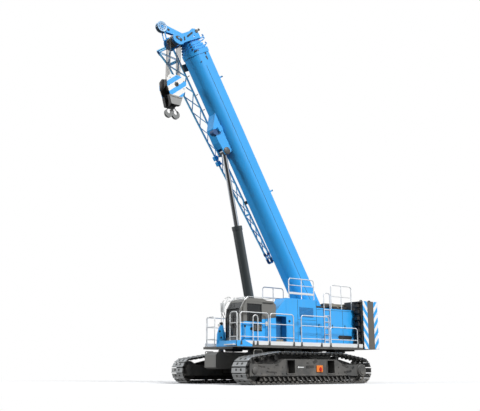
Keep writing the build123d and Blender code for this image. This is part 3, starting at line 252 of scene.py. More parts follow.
EFFECTS = Effects()
TONE_DEPTH, WEAR_RADIUS = 0.06, 0.008
SHADE = (0.02, 0.02, 0.02)
STREAK_GREY = (0.25, 0.24, 0.22)
DUST_BROWN = (0.34, 0.31, 0.27)
BAND_WHITE = (0.86, 0.87, 0.87)
BLOCK_WHITE = (0.84, 0.83, 0.8)
WEIGHT_GREY = srgb(150, 150, 148)
RIM_BLACK = srgb(44, 42, 40)
FILM = (0.3, 0.3, 0.28)

# Where the patterns lie on the crane.
SKIRT_FRONT, SKIRT_SLOPE, SKIRT_TOP = 2.6, 0.135, 2.14
CAB_SIDE = 1.405
PAD_EDGE = 0.382
# Below this height the main frame is painted near black as shade under the deck.
FRAME_SHADE_TOP = 1.34
WEIGHT_MIDDLE, WEIGHT_PLAIN = -3.99, 0.18
WEIGHT_SLANT, WEIGHT_BANDS = -1.25, 2.38
BLOCK_SLANT, BLOCK_BANDS, BLOCK_START = 0.85, 2.15, 0.92
BLOCK_GREY_TOP, BLOCK_INSIDE = 10.5, 0.262


class Pattern(Enum):
    """What a paint shows besides its own colour."""

    PLAIN = "plain"
    CAB_SKIRT = "cab skirt"
    WARNING_BANDS = "warning bands"
    BLOCK_BANDS = "block bands"
    TREAD = "tread"
    ROPE_LAY = "rope lay"
    # Painted shade on the main frame below the deck.
    DARK_FOOT = "dark foot"
    # Painted shade on the outer ends of the track shoes.
    SHOE_ENDS = "shoe ends"


@dataclass(frozen=True)
class Finish:
    """A painted or bare surface with grain, dust and rubbed edges."""

    name: str
    colour: Colour
    second: Colour = (0.8, 0.8, 0.8)
    metallic: float = 0.0
    roughness: float = 0.4
    coat: float = 0.0
    grain_scale: float = 60.0
    grain_depth: float = 0.02
    dust: float = 0.25
    dust_head: float = 2.4
    wear: float = 0.35
    wear_colour: Colour = (0.35, 0.35, 0.34)
    streaks: float = 0.0
    pattern: Pattern = Pattern.PLAIN

    def build(self) -> bpy.types.Material:
        """Make the material.

        Returns:
            A node material with this finish.
        """
        material, graph, place = new_material(self.name)

        def effect(which: Effect, **inputs: float) -> Sequence[Socket]:
            """Outputs of a shared effect."""
            made = graph.node("Group", node_tree=EFFECTS.get(which), Position=place, **inputs)
            return made.outputs

        grain = effect(Effect.GRAIN, Scale=self.grain_scale)
        dust = effect(Effect.DUST, Amount=self.dust, Head=self.dust_head)["Mask"]
        streaks = effect(Effect.STREAKS, Amount=self.streaks)["Mask"]
        wear = effect(Effect.WEAR, Amount=self.wear, Radius=WEAR_RADIUS)
        dark = graph.times(grain["Tone"], TONE_DEPTH)
        colour = graph.blend(dark, self._patterned(graph, place), SHADE)
        colour = graph.blend(streaks, colour, STREAK_GREY)
        colour = graph.blend(dust, colour, DUST_BROWN)
        colour = graph.blend(wear["Mask"], colour, self.wear_colour)
        relief = graph.times(grain["Height"], self.grain_depth)
        if self.pattern in (Pattern.TREAD, Pattern.ROPE_LAY):
            relief = graph.math("ADD", relief, self._raised(graph, place))
        bump = graph.node(
            "Bump", Strength=0.6, Distance=0.02, Height=relief, Normal=wear["Normal"]
        )
        shader = graph.node(
            "BsdfPrincipled",
            Base_Color=colour,
            Roughness=graph.math("ADD", graph.times(dust, 0.5), self.roughness),
            Metallic=self.metallic,
            Coat_Weight=self.coat,
            Coat_Roughness=0.08,
            Normal=bump.outputs[0],
        )
        graph.end(shader)
        return material

    def _patterned(self, graph: Graph, place: Socket) -> object:
        """Base colour before grain, dust and wear."""
        if self.pattern in (Pattern.PLAIN, Pattern.TREAD, Pattern.ROPE_LAY):
            return self.colour
        x, y, z = graph.axes(place)
        if self.pattern is Pattern.WARNING_BANDS:
            return self._warning(graph, x, z)
        if self.pattern is Pattern.BLOCK_BANDS:
            return self._bands(graph, x, y, z)
        if self.pattern is Pattern.CAB_SKIRT:
            forward = graph.math("SUBTRACT", x, SLEW_X)
            rise = graph.times(graph.math("SUBTRACT", SKIRT_FRONT, forward), SKIRT_SLOPE)
            below = graph.math("LESS_THAN", z, graph.math("ADD", rise, SKIRT_TOP))
            share = graph.times(below, graph.math("GREATER_THAN", y, CAB_SIDE))
        elif self.pattern is Pattern.SHOE_ENDS:
            # Painted shade: the shoes' outer ends, past PAD_EDGE from the track's middle, take the
            # darker second colour.
            off = graph.math("SUBTRACT", graph.math("ABSOLUTE", y), Tracks.centre_y)
            share = graph.math("GREATER_THAN", graph.math("ABSOLUTE", off), PAD_EDGE)
        else:
            # Painted shade: near black below the underside of the deck.
            share = graph.math("LESS_THAN", z, FRAME_SHADE_TOP)
        return graph.blend(share, self.colour, self.second)

    def _warning(self, graph: Graph, x: Socket, z: Socket) -> Socket:
        """Slanted bands along both upright edges of the counterweight's sides."""
        forward = graph.math("SUBTRACT", x, SLEW_X)
        side = graph.math("ABSOLUTE", graph.math("SUBTRACT", forward, WEIGHT_MIDDLE))
        phase = graph.math("ADD", z, graph.times(side, WEIGHT_SLANT))
        wave = graph.math("FRACT", graph.times(phase, WEIGHT_BANDS))
        stripes = graph.blend(graph.math("GREATER_THAN", wave, 0.5), BAND_WHITE, self.second)
        edge = graph.math("GREATER_THAN", side, WEIGHT_PLAIN)
        across = graph.axes(graph.node("NewGeometry").outputs["Normal"])[1]
        flank = graph.math("GREATER_THAN", graph.math("ABSOLUTE", across), 0.6)
        return graph.blend(graph.times(edge, flank), self.colour, stripes)

    def _bands(self, graph: Graph, x: Socket, y: Socket, z: Socket) -> Socket:
        """Slanted bands over the upper part of the hook block's cheeks, grey below."""
        phase = graph.math("ADD", z, graph.times(x, BLOCK_SLANT))
        turns = graph.math("ADD", graph.times(phase, BLOCK_BANDS), BLOCK_START)
        wave = graph.math("FRACT", turns)
        bands = graph.blend(graph.math("GREATER_THAN", wave, 0.5), BLOCK_WHITE, self.second)
        skin = graph.blend(graph.math("LESS_THAN", z, BLOCK_GREY_TOP), bands, WEIGHT_GREY)
        inside = graph.math("LESS_THAN", graph.math("ABSOLUTE", y), BLOCK_INSIDE)
        return graph.blend(inside, skin, RIM_BLACK)

    def _raised(self, graph: Graph, place: Socket) -> Socket:
        """Relief of a tread plate or of a rope's strands."""
        if self.pattern is Pattern.TREAD:
            turn = (0.0, 0.0, math.radians(45))
            turned = graph.node("Mapping", Vector=place, Rotation=turn, Scale=(28, 28, 28))
            cells = graph.node(
                "TexVoronoi", Vector=turned.outputs[0], Scale=1.0, Randomness=0.0
            )
            return graph.math("LESS_THAN", cells.outputs["Distance"], 0.28)
        lay = graph.node(
            "TexWave", Vector=place, Scale=38.0, bands_direction="DIAGONAL", Distortion=0.3
        )
        return lay.outputs["Fac"]


@dataclass(frozen=True)
class Pane:
    """Tinted window glass."""

    name: str
    tint: Colour

    def build(self) -> bpy.types.Material:
        """Make the material."""
        material, graph, place = new_material(self.name)
        film = graph.times(graph.mapped(graph.noise(place, 3.0, 4.0), 0.4, 0.75), 0.12)
        shader = graph.node(
            "BsdfPrincipled",
            Base_Color=graph.blend(film, self.tint, FILM),
            Roughness=graph.math("ADD", film, 0.03),
            Transmission_Weight=0.55,
            IOR=1.45,
        )
        graph.end(shader)
        return material


SKY = srgb(50, 167, 241)
PAINTS = (
    Finish("sky_paint", SKY, coat=0.4, roughness=0.33, streaks=0.08, dust=0.1, wear=0.15),
    # Painted light: a paler blue than the boom's, so that the jib looks lit where the boom shades
    # it.
    Finish("jib_blue_painted_light", srgb(120, 210, 255), coat=0.2, dust=0.0, wear=0.25),
    Finish(
        "cab_paint", srgb(112, 111, 107), SKY, pattern=Pattern.CAB_SKIRT, coat=0.2, dust=0.1
    ),
    Finish("dark_paint", srgb(74, 74, 73), roughness=0.5, dust=0.4, dust_head=1.6, wear=0.5),
    # Black paint on joints, bolts, pads and handles. The same material is painted shade on the
    # crossbeams and on the thin plates that stand for slots, holes and shaded gaps.
    Finish("black_paint_and_shade", srgb(26, 26, 27), roughness=0.55, dust=0.3, wear=0.3),
    # Blue frame, painted near black under the deck as shade.
    Finish(
        "frame_paint", SKY, srgb(24, 24, 25), pattern=Pattern.DARK_FOOT, coat=0.3, dust=0.1
    ),
    # Darker blue for the louvre backs, and painted shade on the panel in the recess between the cab
    # and the house.
    Finish("grille_and_shade_blue", srgb(30, 108, 168), roughness=0.5, dust=0.1),
    Finish("pale_paint", srgb(150, 190, 226), dust=0.1),
    Finish("pad_blue", srgb(14, 74, 128), coat=0.2),
    Finish("ballast_paint", srgb(120, 120, 117), roughness=0.5),
    # Pale pad steel, with painted shade on the shoes' outer ends.
    Finish(
        "pad_steel", srgb(168, 170, 170), srgb(52, 52, 52), pattern=Pattern.SHOE_ENDS,
        metallic=0.3, roughness=0.45, dust=0.3, dust_head=0.9, wear=0.5,
    ),
    Finish(
        "shoe_steel", srgb(66, 66, 65), metallic=0.5, roughness=0.42, grain_depth=0.08,
        dust=0.6, dust_head=1.1, wear=0.9, wear_colour=(0.62, 0.62, 0.6),
    ),
    Finish("rail_paint", srgb(226, 228, 228), roughness=0.3, metallic=0.15, dust=0.1),
    Finish(
        "deck_tread", srgb(92, 92, 90), pattern=Pattern.TREAD,
        metallic=0.4, roughness=0.5, dust=0.5,
    ),
    Finish(
        "counterweight_paint", srgb(96, 92, 86), SKY, pattern=Pattern.WARNING_BANDS, dust=0.15
    ),
    Finish("block_paint", srgb(210, 208, 200), SKY, pattern=Pattern.BLOCK_BANDS, dust=0.0),
    Finish("beam_paint", srgb(142, 138, 126), roughness=0.5, dust=0.3),
    Finish("barrel_paint", srgb(50, 56, 58), coat=0.3, roughness=0.35, dust=0.1),
    Finish(
        "chrome_rod", srgb(200, 202, 204), metallic=1.0, roughness=0.12,
        dust=0.0, wear=0.0, grain_depth=0.0,
    ),
    Finish("bare_steel", srgb(140, 139, 134), metallic=0.85, dust=0.1, wear=0.6),
    Finish(
        "forged_steel", srgb(112, 113, 112), metallic=0.6, roughness=0.5,
        grain_depth=0.12, dust=0.0,
    ),
    Finish(
        "wound_rope", srgb(120, 98, 74), pattern=Pattern.ROPE_LAY,
        metallic=0.3, roughness=0.6, dust=0.2,
    ),
    Finish(
        "fall_rope", srgb(126, 120, 110), pattern=Pattern.ROPE_LAY,
        metallic=0.3, roughness=0.5, dust=0.0,
    ),
    Finish(
        "seat_cloth", srgb(34, 35, 38), roughness=0.85, grain_scale=220.0, grain_depth=0.3
    ),
    Finish("rubber", srgb(22, 22, 22), roughness=0.75, grain_depth=0.1, dust=0.2),
    Finish("lamp_white", srgb(236, 238, 236), roughness=0.12, coat=0.6, dust=0.0, wear=0.0),
    Finish("signal_orange", srgb(240, 130, 40), roughness=0.35, dust=0.1),
    Finish("signal_red", srgb(200, 24, 20), roughness=0.3, dust=0.05),
    Finish("steel_tube", srgb(150, 150, 148), metallic=0.4, roughness=0.35, dust=0.0),
    Pane("front_glass", srgb(84, 85, 84)),
    Pane("window", srgb(40, 42, 42)),
)
FINISHES = {finish.name: finish for finish in PAINTS}


@dataclass
class Palette:
    """Materials by name, each made once."""

    made: dict = field(default_factory=dict)

    def get(self, name: str) -> bpy.types.Material:
        """Return the material of a finish."""
        if name not in self.made:
            self.made[name] = FINISHES[name].build()
        return self.made[name]


PALETTE = Palette()


# ---- shapes ----
def facing(centre: Iterable[float], axis: Iterable[float]) -> Matrix:
    """Frame at a point with its Z along an axis."""
    turn = Vector(axis).to_track_quat("Z", "Y").to_matrix().to_4x4()
    return Matrix.Translation(Vector(centre)) @ turn


@dataclass
class Shape:
    """A mesh that grows piece by piece in one local frame.

    Attributes:
        name: Name of the piece.
        finish: Name of its finish.
        slot: Slot of the record that its finish belongs to; not used.
        body: Moving body that carries it.
        place: Matrix that takes its local frame to the world.
        replaces: Nodes of the frame that it stands for.
        mirror: Whether it is copied to the other side of the crane's middle.
        smooth: Angle in degrees under which edges are shaded round.
        bm: The mesh.
    """

    name: str
    finish: str
    slot: str
    body: str
    place: Matrix
    replaces: Sequence[str] = ()
    mirror: bool = False
    smooth: float = 35.0
    bm: bmesh.types.BMesh = field(default_factory=bmesh.new)

    def block(
        self, low: Point, high: Point, bevel: float = 0.0, turn: Optional[Matrix] = None
    ) -> None:
        """Add a block with chamfered edges.

        Args:
            low: One corner.
            high: The corner across from it.
            bevel: Width of the bevel on its edges.
            turn: Matrix that turns it about its middle.
        """
        size = Vector(high) - Vector(low)
        matrix = Matrix.Translation((Vector(high) + Vector(low)) / 2)
        if turn is not None:
            matrix = matrix @ turn
        matrix = matrix @ Matrix.Diagonal((*[abs(value) for value in size], 1.0))
        made = bmesh.ops.create_cube(self.bm, size=1.0, matrix=matrix)
        self._bevel(made["verts"], bevel)

    def around(
        self, middle: Point, reach: Point, bevel: float = 0.0, turn: Optional[Matrix] = None
    ) -> None:
        """Add a block by its middle and half of its size, see block."""
        at, half = Vector(middle), Vector(reach)
        self.block(at - half, at + half, bevel, turn)

    def _bevel(self, verts: Iterable[bmesh.types.BMVert], width: float) -> None:
        """Bevel every edge of some vertices, if there is a width."""
        if width > 0:
            edges = list(dict.fromkeys(edge for vert in verts for edge in vert.link_edges))
            bmesh.ops.bevel(
                self.bm, geom=edges, offset=width, segments=1, profile=0.5, affect="EDGES"
            )

    def rod(self, start: Point, end: Point, radius: float, sides: int = 12) -> None:
        """Add a round bar.

        Args:
            start: Middle of its first end.
            end: Middle of its last end.
            radius: Its radius.
            sides: Number of flats round it.
        """
        first, last = Vector(start), Vector(end)
        bmesh.ops.create_cone(
            self.bm,
            cap_ends=True,
            segments=sides,
            radius1=radius,
            radius2=radius,
            depth=(last - first).length,
            matrix=facing((first + last) / 2, last - first),
        )

    def stud(
        self, spot: Flat, low: float, high: float, radius: float, sides: int = 6
    ) -> None:
        """Add a round bar across the crane, at an X and Z, from one Y to another."""
        x, z = spot
        self.rod((x, low, z), (x, high, z), radius, sides)

    def pipe(self, points: Sequence[Point], radius: float) -> None:
        """Add a bent pipe as bars with balls at the bends."""
        for first, last in zip(points, points[1:]):
            self.rod(first, last, radius, 8)
        for corner in points[1:-1]:
            matrix = Matrix.Translation(Vector(corner))
            bmesh.ops.create_uvsphere(
                self.bm, u_segments=8, v_segments=4, radius=radius, matrix=matrix
            )

    def plate(self, outline: Sequence[Flat], low: float, high: float, bevel: float = 0.0) -> None:
        """Add an outline drawn from the side, with a thickness across the crane.

        Args:
            outline: Corners in order, as X and Z.
            low: Y of one side.
            high: Y of the other side.
            bevel: Width of the bevel on its edges.
        """
        verts = [self.bm.verts.new((x, low, z)) for x, z in outline]
        grown = bmesh.ops.extrude_face_region(self.bm, geom=[self.bm.faces.new(verts)])
        moved = [item for item in grown["geom"] if isinstance(item, bmesh.types.BMVert)]
        bmesh.ops.translate(self.bm, verts=moved, vec=(0.0, high - low, 0.0))
        self._bevel(verts + moved, bevel)

    def turned(
        self, profile: Sequence[Flat], centre: Point, axis: Point = LEFTWARD, steps: int = 28
    ) -> None:
        """Spin a closed profile round an axis.

        Args:
            profile: Radius and distance along the axis of each corner.
            centre: Point on the axis.
            axis: Direction of the axis.
            steps: Number of steps round it.
        """
        matrix = facing(centre, axis)
        verts = [self.bm.verts.new(matrix @ Vector((r, 0.0, h))) for r, h in profile]
        edges = [self.bm.edges.new(pair) for pair in zip(verts, verts[1:] + verts[:1])]
        bmesh.ops.spin(
            self.bm,
            geom=verts + edges,
            cent=Vector(centre),
            axis=matrix.to_3x3() @ Vector((0, 0, 1)),
            angle=2 * math.pi,
            steps=steps,
            use_merge=True,
        )

    def cap(
        self, corners: Sequence[Flat], centre: Point, axis: Point = LEFTWARD, steps: int = 28
    ) -> None:
        """Spin a profile that closes on its axis at both ends, see turned."""
        closed = ((0.0, corners[0][1]), *corners, (0.0, corners[-1][1]))
        self.turned(closed, centre, axis, steps)

    def complete(self) -> None:
        """Turn the mesh into an object that rides on its body."""
        if self.mirror:
            whole = [*self.bm.verts, *self.bm.edges, *self.bm.faces]
            same = Matrix.Identity(4)
            bmesh.ops.mirror(self.bm, geom=whole, matrix=same, merge_dist=-1.0, axis="Y")
        bmesh.ops.remove_doubles(self.bm, verts=self.bm.verts, dist=1e-6)
        bmesh.ops.recalc_face_normals(self.bm, faces=self.bm.faces)
        bmesh.ops.transform(self.bm, matrix=self.place, verts=self.bm.verts)
        mesh = bpy.data.meshes.new(self.name)
        self.bm.to_mesh(mesh)
        self.bm.free()
        mesh.shade_smooth()
        mesh.set_sharp_from_angle(angle=math.radians(self.smooth))
        mesh.materials.append(PALETTE.get(self.finish))
        piece = bpy.data.objects.new(self.name, mesh)
        bpy.context.scene.collection.objects.link(piece)
        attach(piece, self.body)
        if self.replaces:
            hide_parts(*self.replaces)
        LOG.info("%s: %d faces on %s", self.name, len(mesh.polygons), self.body)


@dataclass
class Assembly:
    """Part of the crane: its pieces, and the frame's own nodes in it by their finish."""

    body: ClassVar[str] = "upper"
    place: ClassVar[Matrix] = CRANE
    nodes: ClassVar[dict[str, str]] = {}
    shapes: list[Shape] = field(default_factory=list)

    def new(self, name: str, finish: str, slot: str, **options: object) -> Shape:
        """Start a piece.

        Args:
            name: Name of the piece.
            finish: Name of its finish.
            slot: Slot of the record.
            options: Other fields of the shape; this part's own body and place if not given.

        Returns:
            The empty shape.
        """
        options = {"body": self.body, "place": self.place, **options}
        self.shapes.append(Shape(name, finish, slot, **options))
        return self.shapes[-1]

    def build(self) -> None:
        """Start and shape the pieces."""
        raise NotImplementedError

    def run(self) -> None:
        """Finish the frame's own nodes, then build and complete the pieces."""
        for finish, names in self.nodes.items():
            for name in names.split():
                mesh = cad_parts[name].data
                mesh.materials.clear()
                mesh.materials.append(PALETTE.get(finish))
                LOG.info("%s: %s", name, finish)
        self.build()
        for shape in self.shapes:
            shape.complete()


class OnBoom(Assembly):
    """Part that is placed along, left of and above the boom."""

    body: ClassVar[str] = "boom"
    place: ClassVar[Matrix] = BOOM


# ---- undercarriage ----
@dataclass(frozen=True)
class Belt:
    """Path of a track round its wheels, seen from the side: X, Z and radius of each."""

    circles: tuple = (
        (2.6, 0.48, 0.48),
        (1.5, 0.796, 0.33),
        (-1.5, 0.796, 0.33),
        (-2.6, 0.48, 0.48),
    )

    def stretches(self) -> list[tuple[bool, Point, float, float]]:
        """Bends and runs in order: whether it bends, its circle, outward angle, length."""
        pairs = list(zip(self.circles, self.circles[1:] + self.circles[:1]))
        angles = [
            math.atan2(z2 - z, x2 - x) - math.acos((r - r2) / math.hypot(x2 - x, z2 - z))
            for (x, z, r), (x2, z2, r2) in pairs
        ]
        found = []
        for (first, last), before, angle in zip(pairs, angles[-1:] + angles, angles):
            found.append((True, first, before, (angle - before) % (2 * math.pi) * first[2]))
            ends = [
                (x + r * math.cos(angle), z + r * math.sin(angle)) for x, z, r in (first, last)
            ]
            found.append((False, first, angle, math.dist(*ends)))
        return found

    def length(self) -> float:
        """Length of the outside."""
        return sum(row[3] for row in self.stretches())

    def place(self, travel: float) -> Matrix:
        """Frame at a distance along the belt: local X along it, local Z outwards.

        Args:
            travel: Distance along the belt's outside.

        Returns:
            The matrix of the spot.
        """
        left = travel % self.length()
        for bends, (x, z, r), angle, length in self.stretches():
            if left <= length:
                break
            left -= length
        if bends:
            angle += left / r
            left = 0.0
        lean, rise = math.cos(angle), math.sin(angle)
        spot = (x + r * lean - left * rise, z + r * rise + left * lean)
        return Matrix(
            (
                (-rise, 0.0, lean, spot[0]),
                (0.0, 1.0, 0.0, 0.0),
                (lean, 0.0, rise, spot[1]),
                (0.0, 0.0, 0.0, 1.0),
            )
        )


@dataclass
class Tracks(Assembly):
    """Shoes, links and the plates of the track frames."""

    body: ClassVar[str] = "undercarriage"
    nodes: ClassVar[dict[str, str]] = {
        "dark_paint": "left_track_frame right_track_frame idlers sprockets final_drives carbody "
        "tie_down_lugs",
        # Painted shade: the crossbeams are blackened where they show through the openings in the
        # track frames.
        "black_paint_and_shade": "crossbeams slew_ring",
        "shoe_steel": "left_track right_track track_rollers",
        "ballast_paint": "central_ballast",
        "bare_steel": "track_steps",
    }
    centre_y: float = 1.93
    half_width: float = 0.39
    face: float = 2.23
    shoes: int = 62
    belt: Belt = field(default_factory=Belt)

    def build(self) -> None:
        """Build the shoes of both tracks and the hardware on the frames."""
        pitch = self.belt.length() / self.shoes
        for sign, side in zip(SIDES, ("left", "right")):
            place = CRANE @ Matrix.Translation((0.0, sign * self.centre_y, 0.0))
            own = {"place": place, "replaces": [f"{side}_track"]}
            parts = (
                self.new(f"{side}_shoe_pads", "pad_steel", "track_steel", **own),
                self.new(f"{side}_chain_links", "shoe_steel", "track_steel", **own),
                self.new(f"{side}_shoe_slots", "black_paint_and_shade", "track_steel", place=place),
            )
            for index in range(self.shoes):
                self.shoe(parts, self.belt.place((index + 0.5) * pitch), pitch * 0.4)
        self.shade_plates_and_ribs(pitch)
        self.frame_plates()
        self.hubs()
        self.controls()

    def shoe(self, parts: Sequence[Shape], spot: Matrix, half: float) -> None:
        """Add one shoe: its pad, the chain links under it and the two slots in it.

        Args:
            parts: Meshes of the pads, the links and the slots.
            spot: Frame of the shoe's middle.
            half: Half of its length along the belt.
        """
        counts = [len(shape.bm.verts) for shape in parts]
        pads, links, slots = parts
        wide = self.half_width
        pads.block((-half, -wide, -0.045), (half, wide, -0.012), 0.01)
        pads.block((-half, -wide, -0.014), (-half + 0.024, wide, 0.0), 0.004)
        for sign in SIDES:
            chain, slot, rim = sign * 0.1, sign * 0.13, sign * wide
            links.block((-half - 0.012, chain - 0.022, -0.118), (half, chain + 0.022, -0.05), 0.012)
            low, high = (-0.05, rim - sign * 0.03, -0.1), (0.06, rim - sign * 0.004, -0.044)
            links.block(low, high, 0.012)
            # The two slots are thin black plates: painted shade of the holes in the pad.
            slots.block((-0.02, slot - 0.048, -0.016), (0.06, slot + 0.048, -0.008), 0.003)
        for shape, count in zip(parts, counts):
            shape.bm.verts.ensure_lookup_table()
            bmesh.ops.transform(shape.bm, matrix=spot, verts=shape.bm.verts[count:])

    def shade_plates_and_ribs(self, pitch: float) -> None:
        """Black plates beside the rollers as painted shade of the gap there, with the ends of the
        chain guides over them.

        Args:
            pitch: Distance from shoe to shoe.
        """
        # Painted shade: black plates close the gap between the frame and the lower run.
        plates = self.new("roller_shade_plates_and_guides", "black_paint_and_shade", "frame_grey", mirror=True)
        for low, high in ((2.118, 2.135), (1.735, 1.752)):
            plates.block((-2.35, low, 0.135), (2.3, high, 0.33), 0.003)
        outline = ((1.3, 0.64), (1.3, 0.88), (1.72, 0.88), (2.26, 0.76), (2.26, 0.62))
        for sign in SIDES:
            plates.plate([(sign * x, z) for x, z in outline], 1.86, 1.96, 0.004)
        ribs = self.new("guard_ribs", "dark_paint", "frame_grey", mirror=True)
        for index in range(20):
            x = (index - 9.5) * pitch
            outline = ((x, 0.125), (x + 0.07, 0.125), (x + 0.15, 0.262), (x + 0.09, 0.262))
            ribs.plate(outline, 2.136, 2.2, 0.004)

    def frame_plates(self) -> None:
        """Rims round the crossbeam openings, black plates as painted shade of recesses, and bolts
        on the frames.
        """
        face = self.face
        rims = self.new("frame_rims", "dark_paint", "frame_grey", mirror=True)
        edges = ((-0.215, -0.18, 0.86), (0.18, 0.215, 0.86), (-0.215, 0.215, 0.38))
        for x in (0.98, -0.98):
            for rear, front, top in edges:
                rims.block((x + rear, face, 0.345), (x + front, face + 0.014, top), 0.004)
        rims.block((-2.05, face, 0.3), (2.75, face + 0.012, 0.335), 0.004)
        for x in (2.62, 2.3, 1.72, 1.36, -1.38, -1.78):
            for z in (0.38, 0.6):
                rims.stud((x, z), face, face + 0.02, 0.018)
        # Painted shade: thin black plates on the face stand for the recesses and slots.
        holes = self.new("frame_slots", "black_paint_and_shade", "frame_grey", mirror=True)
        for x, z, wide, high, slant in (
            (2.3, 0.62, 0.3, 0.05, -8),
            (2.66, 0.44, 0.13, 0.06, 20),
            (1.86, 0.43, 0.46, 0.05, -4),
            (1.62, 0.66, 0.16, 0.05, 10),
            (2.0, 0.55, 0.1, 0.04, -30),
            (0.05, 0.61, 0.4, 0.1, 4),
            (-0.2, 0.79, 0.22, 0.12, 30),
            (0.18, 0.74, 0.1, 0.06, 0),
            (-1.74, 0.65, 0.34, 0.07, -12),
            (-1.86, 0.44, 0.4, 0.08, 6),
            (-2.15, 0.58, 0.12, 0.08, 40),
        ):
            turn = Matrix.Rotation(math.radians(slant), 4, "Y")
            holes.around((x, face, z), (wide / 2, 0.006, high / 2), 0.003, turn)

    def hubs(self) -> None:
        """Covers with bolts on the final drives and the idlers' ends."""
        wheel, height = 2.6, 0.48
        hubs = self.new("hub_covers", "dark_paint", "frame_grey", mirror=True)
        ring = ((0.235, 0.0), (0.235, 0.03), (0.205, 0.045), (0.14, 0.05), (0.13, 0.066))
        hubs.cap(ring, (-wheel, 2.225, height), steps=40)
        for index in range(16):
            turn = index * math.pi / 8
            spot = (-wheel + 0.185 * math.cos(turn), height + 0.185 * math.sin(turn))
            hubs.stud(spot, 2.26, 2.288, 0.013)
        hubs.cap(((0.12, 0.0), (0.12, 0.025), (0.09, 0.04)), (wheel, self.face, height))

    def controls(self) -> None:
        """Orange switch box with a red handle, and a plain white arrow beside it."""
        box = self.new("switch_box", "signal_orange", "frame_grey")
        box.block((-0.55, 2.23, 0.42), (-0.24, 2.262, 0.66), 0.008)
        handle = self.new("switch_handle", "signal_red", "frame_grey")
        handle.cap(((0.075, 0.0), (0.06, 0.02)), (-0.43, 2.262, 0.52), steps=24)
        handle.block((-0.455, 2.262, 0.44), (-0.405, 2.29, 0.6), 0.006)
        arrow = self.new("travel_arrow", "lamp_white", "rail_white")
        upper = ((0.66, 0.59), (0.6, 0.63), (0.6, 0.605), (0.36, 0.605))
        arrow.plate((*upper, (0.36, 0.575), (0.6, 0.575), (0.6, 0.55)), 2.23, 2.234)


@dataclass
class Carbody(Assembly):
    """Bolts, caps and hoses on the middle of the undercarriage."""

    body: ClassVar[str] = "undercarriage"
    ring_radius: float = 0.93
    ring_bolts: int = 40
    top: float = 1.13

    def build(self) -> None:
        """Build the pieces."""
        gear = self.new("carbody_bolts", "black_paint_and_shade", "frame_grey")
        for index in range(self.ring_bolts):
            turn = 2 * math.pi * index / self.ring_bolts
            spot = (self.ring_radius * math.cos(turn), self.ring_radius * math.sin(turn))
            gear.rod((*spot, 1.05), (*spot, 1.138), 0.016, 6)
        hoses = self.new("travel_hoses", "rubber", "frame_grey")
        route = ((-0.6, 0.7, 1.05), (-0.8, 1.1, 0.98), (-1.2, 1.4, 0.88), (-1.7, 1.62, 0.62))
        for sign in SIDES:
            cap = ((0.1, 0.0), (0.1, 0.06), (0.07, 0.085))
            gear.cap(cap, (sign * 2.4, 0.0, self.top), (0, 0, 1))
            for x in (1.35, 2.0, -1.35, -2.0):
                gear.rod((x, sign * 0.22, self.top), (x, sign * 0.22, 1.15), 0.03, 6)
            for shift in (0.0, 0.06):
                hoses.pipe([(x - shift, sign * y, z) for x, y, z in route], 0.02)


# ---- superstructure ----
@dataclass
class Decks(Assembly):
    """Rail feet, ribs, nose and machinery of the walkways."""

    nodes: ClassVar[dict[str, str]] = {
        "deck_tread": "left_deck right_deck",
        "rail_paint": "toe_boards guard_rails ladder",
        "frame_paint": "main_frame",
        "sky_paint": "front_fairing fuel_tank",
    }
    edge_y: float = 1.588
    floor: float = 1.3
    left_feet: tuple = (2.68, 2.13, 1.95, 1.4, 0.23, -0.16, -1.18, -1.66, -3.18)
    right_feet: tuple = (1.93, 1.18, 0.44)

    def build(self) -> None:
        """Build the small pieces of the decks."""
        feet = self.new("rail_feet", "dark_paint", "frame_grey")
        ribs = self.new("deck_ribs", "black_paint_and_shade", "frame_grey")
        for side, front, spots in ((1.0, 2.9, self.left_feet), (-1.0, 2.1, self.right_feet)):
            edge = sorted((side * self.edge_y, side * (self.edge_y + 0.03)))
            for x in spots:
                outline = ((x - 0.03, 1.36), (x + 0.06, 1.36), (x + 0.02, 1.5), (x - 0.01, 1.5))
                feet.plate(outline, *edge)
            for x in (-3.2 + index * 0.53 for index in range(12)):
                if x < front:
                    middle = (x, side * 1.04, self.floor - 0.0125)
                    ribs.around(middle, (0.012, 0.5, 0.0125), 0.002)
        fascia = self.new("deck_fascia", "sky_paint", "sky_blue")
        outline = ((2.88, 1.3), (2.88, 1.5), (2.52, 1.5), (2.2, 1.37), (2.2, 1.3))
        fascia.plate(outline, 1.589, 1.6)
        fascia.block((2.88, 0.5, 1.3), (2.905, 1.56, 1.5), 0.006)
        lip = self.new("deck_lip", "rail_paint", "rail_white")
        lip.block((2.905, 1.02, 1.335), (3.02, 1.56, 1.375), 0.006)
        under = self.new("deck_machinery", "black_paint_and_shade", "frame_grey")
        for x, wide, y, high in (
            (1.25, 0.5, 0.75, 0.12),
            (-0.2, 0.9, 0.8, 0.14),
            (-1.5, 0.7, 0.7, 0.12),
            (-2.6, 0.6, 0.9, 0.15),
        ):
            for side in (y, -y):
                middle = (x, side, self.floor - high / 2)
                under.around(middle, (wide / 2, 0.25, high / 2), 0.02)


